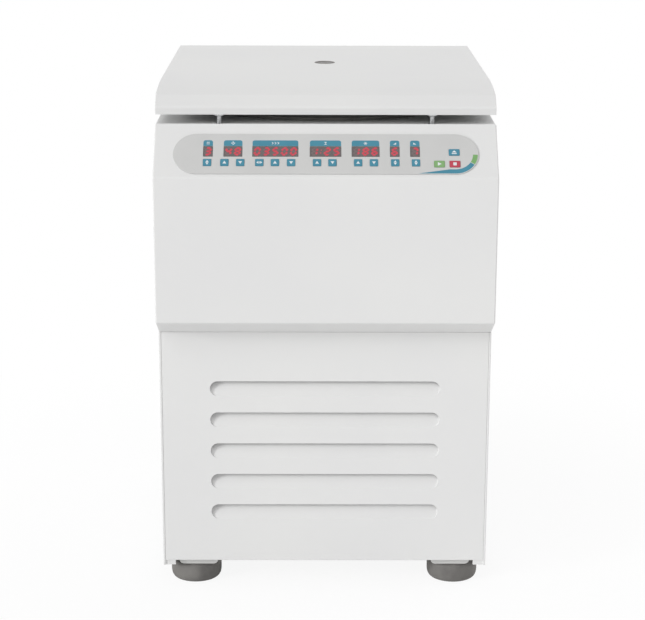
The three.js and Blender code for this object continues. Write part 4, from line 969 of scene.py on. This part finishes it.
makeRear()
for node, edge in (("side_panel_left", 0.8), ("side_panel_right", 0.8), ("hinge_rail", 0.5), ("latch_beam", 0.8),
                   ("latch_bolt_left", 0.5), ("latch_bolt_right", 0.5), ("motor_shelf", 0.8)):
    dressed(node, edge)
# The base pan gets the darker paint, which is painted shade for where it sits recessed under the lower panel
dressed("base_pan", 0.6, finish="shadedBasePaint")
print("back, sides and base are made")


# Hinge rod, and the posts on the lid that drop into the latch
rod = sizes(radius=4, half=212.6, edge=0.8)
striker = sizes(side=188, y=-262, low=835.7, high=883.7, radius=4.5, tipRadius=3.1, tipTall=1.8, foot=1, collar=9,
                collarTall=4, collarEdge=0.6, eyeLow=839.7, eyeTall=9, eyeWide=5, eyeReach=8)


def makeHingeAndPosts():
    profile = [(0, -rod.half), (rod.radius, -rod.half, rod.edge), (rod.radius, rod.half, rod.edge), (0, rod.half)]
    addPiece("hingeRodSteel", turned(profile, 40, liner.axis, axis="x"), "hinge_rod", 40)
    s = striker
    seat = s.high - s.collarTall
    profile = [(0, s.low), (s.tipRadius, s.low), (s.radius, s.low + s.tipTall), (s.radius, seat, s.foot),
               (s.collar, seat, s.collarEdge), (s.collar, s.high, s.collarEdge), (0, s.high)]
    for name, x in (("left", -s.side), ("right", s.side)):
        eye = plate(boxAt((x, s.y), s.eyeReach, s.eyeWide / 2, 1), [], s.eyeLow, s.eyeLow + s.eyeTall)
        post = combined(turned(profile, 48, (x, s.y)), cuts=[eye])
        addPiece("latchPost_" + name, post, "latch_striker_" + name, 40)


makeHingeAndPosts()
print("hinge and latch are made")


# Rotor: four arms between open bays, pins for the buckets, a hub, and the nut on the shaft
rotor = sizes(axis=752, radius=165, tall=40, edge=1.5, bayInner=69, bayOuter=195, bayHalf=56, bayCorner=10, bayPast=20,
              bayEdge=0.8, pivot=122, pin=5, pinEdge=0.7, pinFrom=47, pinTo=65, hub=34, hubTall=54, hubEdge=1,
              hubFoot=2.5, bore=10.3, boreEdge=0.6)
bucket = sizes(radius=46, inner=43, above=22, below=95, foot=14, floor=5, lip=0.7, bead=0.8, beadLow=17, beadFoot=16,
               boss=((0, 44.5), (12, 44.5), (10, 48), (10, 54, 0.8), (0, 54)), bore=5.5, boreFrom=46.5, boreTo=60)
quarterTurns = [Matrix.Rotation(quarter * pi / 2, 4, "Z") for quarter in range(4)]
rotorPlace = Matrix.Translation((chamber[0] * mm, chamber[1] * mm, 0))


def placed(mesh, matrix):
    copy = mesh.copy()
    copy.transform(matrix)
    return copy


def makeRotor():
    r, z = rotor, rotor.axis
    low, high, hubLow, hubHigh = z - r.tall / 2, z + r.tall / 2, z - r.hubTall / 2, z + r.hubTall / 2
    head = turned([(r.bore, hubLow), (r.hub, hubLow, r.hubEdge), (r.hub, low), (r.radius, low, r.edge),
                   (r.radius, high, r.edge), (r.hub, high, r.hubFoot), (r.hub, hubHigh, r.hubEdge),
                   (r.bore, hubHigh, r.boreEdge)], 192)
    bay = roundedBox(r.bayInner, r.bayOuter, -r.bayHalf, r.bayHalf, r.bayCorner, 8)
    bay = plate(bay, [], low - r.bayPast, high + r.bayPast)
    head = softened(combined(head, cuts=[placed(bay, turn) for turn in quarterTurns]), r.bayEdge, 2, 40)
    pins = [drum(r.pin, sign * r.pinFrom, sign * r.pinTo, 32, (z, r.pivot), edge=[r.pinEdge], axis="y")
            for sign in (-1, 1)]
    head = combined(head, adds=[placed(pin, turn) for pin in pins for turn in quarterTurns])
    addPiece("rotorHead", placed(head, rotorPlace), "rotor_head", 30)
    dressed("rotor_nut", 1.1, 3)
    dressed("drive_shaft", 0.9, 2)


def makeBuckets():
    b = bucket
    well = b.foot - (b.radius - b.inner)
    bottom = b.floor - b.below
    profile = [(0, -b.below)] + arc((b.radius - b.foot, b.foot - b.below), b.foot, -90, 0, 10)
    profile += [(b.radius, b.beadFoot), (b.radius + b.bead, b.beadLow), (b.radius + b.bead, b.above, b.bead),
                (b.inner, b.above, b.lip)]
    profile += arc((b.inner - well, bottom + well), well, 0, -90, 8) + [(0, bottom)]
    bosses, bores = [], []
    for sign in (-1, 1):
        bosses.append(turned([(radius, sign * reach, *cut) for radius, reach, *cut in b.boss], 48, axis="y"))
        bores.append(drum(b.bore, sign * b.boreFrom, sign * b.boreTo, 32, axis="y"))
    cup = combined(turned(profile, 96), cuts=bores, adds=bosses)
    for index, turn in enumerate(quarterTurns, 1):
        place = rotorPlace @ turn @ Matrix.Translation((rotor.pivot * mm, 0, rotor.axis * mm))
        addPiece("swingCup_%d" % index, placed(cup, place), "bucket_%d" % index, finish="innerSteel")


makeRotor()
makeBuckets()
print("rotor and buckets are made")


# Cooled chamber: copper coil round the bowl, and the steel guard round both
coil = sizes(radius=236, tube=4.5, turns=6, low=649.7, pitch=31.9, perTurn=72)
guard = sizes(inner=262, outer=270, low=400.3, high=861.7, edge=1.2)


def makeCoilAndGuard():
    points = []
    for turn in (step / coil.perTurn for step in range(coil.turns * coil.perTurn + 1)):
        angle = 2 * pi * turn
        points.append((chamber[0] + coil.radius * cos(angle), chamber[1] + coil.radius * sin(angle),
                       coil.low + coil.pitch * turn))
    addPiece("coolingCoil", pipe(points, coil.tube, "copper_tube"), "evaporator_coil", 40)
    corners = ((guard.inner, guard.low), (guard.outer, guard.low), (guard.outer, guard.high), (guard.inner, guard.high))
    addPiece("steelGuard", turned([(*corner, guard.edge) for corner in corners], 160, chamber), "guard_barrel")


# Motor with cooling ribs on three rubber dampers
motor = sizes(low=430.6, flange=126, flangeTall=9, flangeEdge=1.2, core=77, radius=82, top=567.6, shoulder=14, boss=27,
              bossTop=611.6, bossEdge=1, bore=10.4, socket=460, foot=3, collar=9, neck=12, brim=2, ribs=28, ribThick=3,
              ribEnd=11, ribIn=2, ribTip=1, ribTaper=0.7)
damper = sizes(count=3, radius=15, waist=11, steps=8, tall=30, low=400.3, reach=105, edge=0.5, rim=2.5)


def makeMotor():
    m = motor
    seat, top = m.low + m.flangeTall, m.top
    profile = [(0, m.low), (m.flange, m.low, m.flangeEdge), (m.flange, seat, m.flangeEdge), (m.radius, seat, m.foot),
               (m.radius, seat + m.collar), (m.core, seat + m.neck), (m.core, top - m.neck), (m.radius, top - m.collar),
               (m.radius, top - m.brim)]
    profile += arc((m.radius - m.shoulder, top), m.shoulder, 8, 90, 8)
    profile += [(m.boss, top + m.shoulder, m.foot), (m.boss, m.bossTop, m.bossEdge), (m.bore, m.bossTop),
                (m.bore, m.socket), (0, m.socket)]
    root, tip, half, slim = m.core - m.ribIn, m.radius - m.ribTip, m.ribThick / 2, m.ribThick / 2 * m.ribTaper
    rib = plate([(root, -half), (tip, -slim), (m.radius, 0), (tip, slim), (root, half)], [], seat + m.ribEnd,
                top - m.ribEnd)
    turns = [(0, 0, 2 * pi * i / m.ribs) for i in range(m.ribs)]
    ribs = copiesAt([(*chamber, 0)] * m.ribs, turns, rib, "black_casting")
    addPiece("ribbedMotor", [turned(profile, 128, chamber), ribs], "motor_housing")
    d = damper
    shares = [step / d.steps for step in range(1, d.steps)]
    profile = [(0, 0), (d.radius, 0, d.edge), (d.radius, d.rim)]
    profile += [(d.waist + (d.radius - d.waist) * (2 * share - 1) ** 2, d.rim + share * (d.tall - 2 * d.rim))
                for share in shares]
    profile += [(d.radius, d.tall - d.rim), (d.radius, d.tall, d.edge), (0, d.tall)]
    for index in range(d.count):
        angle = pi / 2 + index * 2 * pi / d.count
        place = (chamber[0] + d.reach * cos(angle), chamber[1] + d.reach * sin(angle))
        addPiece("damper%d" % (index + 1), turned(profile, 48, place, d.low), "damper_%d" % (index + 1), 40)


# Cooling unit: finned condenser, fan in its shroud, and the compressor
condenser = sizes(half=200, front=-285, back=-245, low=52.3, high=352.3, cheek=2, cheekAt=184, cheekEdge=0.4, bar=2,
                  fins=92, fin=0.7, finIn=2, finUp=3, finFrom=3, pipes=10, pipeRadius=4.5, pipeEnd=18)
fan = sizes(height=202.3, hub=24, hubRound=5, hubEdge=0.8, hubFront=-234.3, hubBack=-214.3, bore=4.3, boreFrom=-232,
            blades=5, tip=98.5, root=22, rootChord=28, tipChord=40, tipShare=0.72, rootTwist=40, tipTwist=22,
            camber=2.5, sheet=2.2, bladeEdge=0.5, across=8, along=10)
compressor = sizes(
    centre=(110, 137), low=52.3, high=262.3, body=78.5, top=46, dome=34,
    side=((0, 66.3), (68, 66.3), (76, 71.3), (78.5, 80.3), (78.5, 154), (80, 155), (80, 161), (78.5, 162)),
    plate=95, corner=14, plateTall=4, plateEdge=0.8, footReach=79, footLow=56.1,
    foot=((0, 0), (12, 0, 1), (12, 10, 1.5), (5, 10), (5, 13.5), (0, 13.5)),
)


def makeCondenser():
    c = condenser
    cheek = plate(roundedBox(c.front, c.back, c.low, c.high, 2, 3), [], -c.cheek / 2, c.cheek / 2, sidePlane)
    cheeks = rowOf(softened(cheek, c.cheekEdge), 2, (-c.cheekAt, 0, 0), (2 * c.cheekAt, 0, 0), "cast_aluminium")
    front, back, low, high = c.front + c.finIn, c.back - c.finIn, c.low + c.finUp, c.high - c.finUp
    fin = plate(box(front, low, back, high), [], -c.fin / 2, c.fin / 2, sidePlane)
    step = 2 * (c.cheekAt - c.finFrom) / (c.fins - 1)
    fins = rowOf(fin, c.fins, (c.finFrom - c.cheekAt, 0, 0), (step, 0, 0), "cast_aluminium")
    bars = [plate(roundedBox(-c.cheekAt, c.cheekAt, c.front, c.back, 1, 2), [], low, low + c.bar)
            for low in (c.low, c.high - c.bar)]
    addPiece("condenserFins", [cheeks, fins, *bars], "condenser")
    gap = (c.high - c.low - 2 * c.pipeEnd) / (c.pipes - 1)
    middle = (c.front + c.back) / 2
    bend = min(gap / 2, c.half - c.cheekAt - c.pipeRadius)
    points = []
    for row in range(c.pipes):
        z = c.low + c.pipeEnd + row * gap
        side = 1 if row % 2 == 0 else -1
        points += [(-side * c.cheekAt, middle, z), (side * c.cheekAt, middle, z)]
        if row < c.pipes - 1:
            points += [(side * (c.cheekAt + bend * sin(angle)), middle, z + gap * (1 - cos(angle)) / 2)
                       for angle in (pi * turn / 10 for turn in range(1, 10))]
    addPiece("condenserPipe", pipe(points, c.pipeRadius, "copper_tube"), slot="copper_tube", smooth=40)


def bladeShape():
    f = fan
    points = []
    for i in range(f.along + 1):
        share = i / f.along
        chord = (f.rootChord + (f.tipChord - f.rootChord) * share) * (f.tipShare if i == f.along else 1)
        twist = radians(f.rootTwist + (f.tipTwist - f.rootTwist) * share)
        for j in range(f.across + 1):
            offset = (j / f.across - 0.5) * chord
            bow = f.camber * (1 - (2 * j / f.across - 1) ** 2)
            points.append((f.root + (f.tip - f.root) * share, offset * sin(twist) + bow * cos(twist) - f.camber / 2,
                           offset * cos(twist) - bow * sin(twist)))
    row = f.across + 1
    faces = [(a, a + 1, a + row + 1, a + row) for i in range(f.along) for a in range(i * row, i * row + f.across)]
    return baked(meshOf("blade", points, faces), ("SOLIDIFY", {"thickness": f.sheet * mm, "offset": 0}), (
        "BEVEL", {"width": f.bladeEdge * mm, "segments": 2, "limit_method": "ANGLE", "angle_limit": radians(50)}))


def makeFan():
    f = fan
    profile = [(0, f.hubFront)] + arc((f.hub - f.hubRound, f.hubFront + f.hubRound), f.hubRound, -90, 0, 6)
    profile += [(f.hub, f.hubBack, f.hubEdge), (f.bore, f.hubBack), (f.bore, f.boreFrom), (0, f.boreFrom)]
    hub = turned(profile, 64, (f.height, 0), axis="y")
    middle = (0, (f.hubFront + f.hubBack) / 2, f.height)
    turns = [(0, 2 * pi * i / f.blades, 0) for i in range(f.blades)]
    blades = copiesAt([middle] * f.blades, turns, bladeShape(), "black_plastic")
    addPiece("fanWheel", [hub, blades], "fan_blade")
    dressed("fan_shroud", 0.6)


def makeCompressor():
    c = compressor
    profile = [*c.side]
    for angle in (radians(turn) for turn in range(0, 91, 9)):
        profile.append((c.top + (c.body - c.top) * cos(angle), c.high - c.dome + c.dome * sin(angle)))
    foot = plate(boxAt(c.centre, c.plate, c.plate, c.corner), [], c.low, c.low + c.plateTall)
    parts = [turned(profile + [(0, c.high)], 96, c.centre), softened(foot, c.plateEdge)]
    x, y = c.centre
    parts += [turned(c.foot, 32, (x + u * c.footReach, y + v * c.footReach), c.footLow)
              for u in (-1, 1) for v in (-1, 1)]
    addPiece("compressorCan", parts, "compressor")


makeCoilAndGuard()
makeMotor()
makeCondenser()
makeFan()
makeCompressor()
print("drive and cooling unit are made")


# Circuit board with the display modules, behind the slope
board = sizes(margin=8, top=-10, sheet=1.6, edge=0.2, base=-10.2, post=3, postTop=-2.8, moduleTop=1.5)


def makeBoard():
    left, right = windowBox(displayGroups[0])[0] - board.margin, windowBox(displayGroups[-1])[1] + board.margin
    low, high = displays.low - board.margin, displays.high + board.margin
    sheet = plate(roundedBox(left, right, low, high, 2, 3), [], board.top - board.sheet, board.top, slopePlane)
    posts = [plate(circle((x, (low + high) / 2), board.post, 24), [], board.base, board.postTop, slopePlane)
             for x in (left + board.margin / 2, right - board.margin / 2)]
    addPiece("circuitBoard", [softened(sheet, board.edge), *posts], finish="circuitGreen", slot="display_window")
    modules = [plate(windowLoop(group), [], board.base, board.moduleTop, slopePlane) for group in displayGroups]
    addPiece("displayModules", [softened(module, board.edge) for module in modules], "display_board")


makeBoard()


# Pan head screws, each a turned copy of one shape. Each row has its turn and its places
screw = sizes(radius=3.6, rise=1.6, under=-0.3, side=((1, 0.45), (0.93, 0.72), (0.7, 0.93), (0.4, 1), (0, 1)),
              slotWide=0.8, slotLong=4.6, slotDeep=0.8)
screwRows = [
    ((-pi / 2, 0.4, 0), [(x, 337, z) for x in (-287, 287) for z in (62, 220, 380, 540, 700, 848)]
     + [(x, 337, 60) for x in (-140, 0, 140)] + [(x, 337, 310) for x in (-30, 30)]),
    ((-pi / 2, 0.9, 0), [(sign * x, 340.3, 844) for sign in (-1, 1) for x in (60, 150, 222)]),
    ((0, -pi / 2, 0.3), [(-300, y, 56) for y in (-270, -80, 120, 310)]),
    ((0, pi / 2, 0.7), [(300, y, 56) for y in (-270, -80, 120, 310)]),
]


def makeScrews():
    r, h = screw.radius, screw.rise
    side = [(r * across, h * up) for across, up in screw.side]
    head = turned([(0, screw.under), (r, screw.under), *side], 20)
    wide, long = screw.slotWide / 2, screw.slotLong / 2
    cross = [plate(box(-u, -v, u, v), [], h - screw.slotDeep, h + 1) for u, v in ((long, wide), (wide, long))]
    head = combined(head, cuts=cross)
    places = [place for turn, row in screwRows for place in row]
    turns = [turn for turn, row in screwRows for place in row]
    screws = copiesAt(places, turns, head, "screwSteel")
    addPiece("panelScrews", screws, finish="screwSteel", slot="stainless_steel")


makeScrews()
print("board and screws are made")
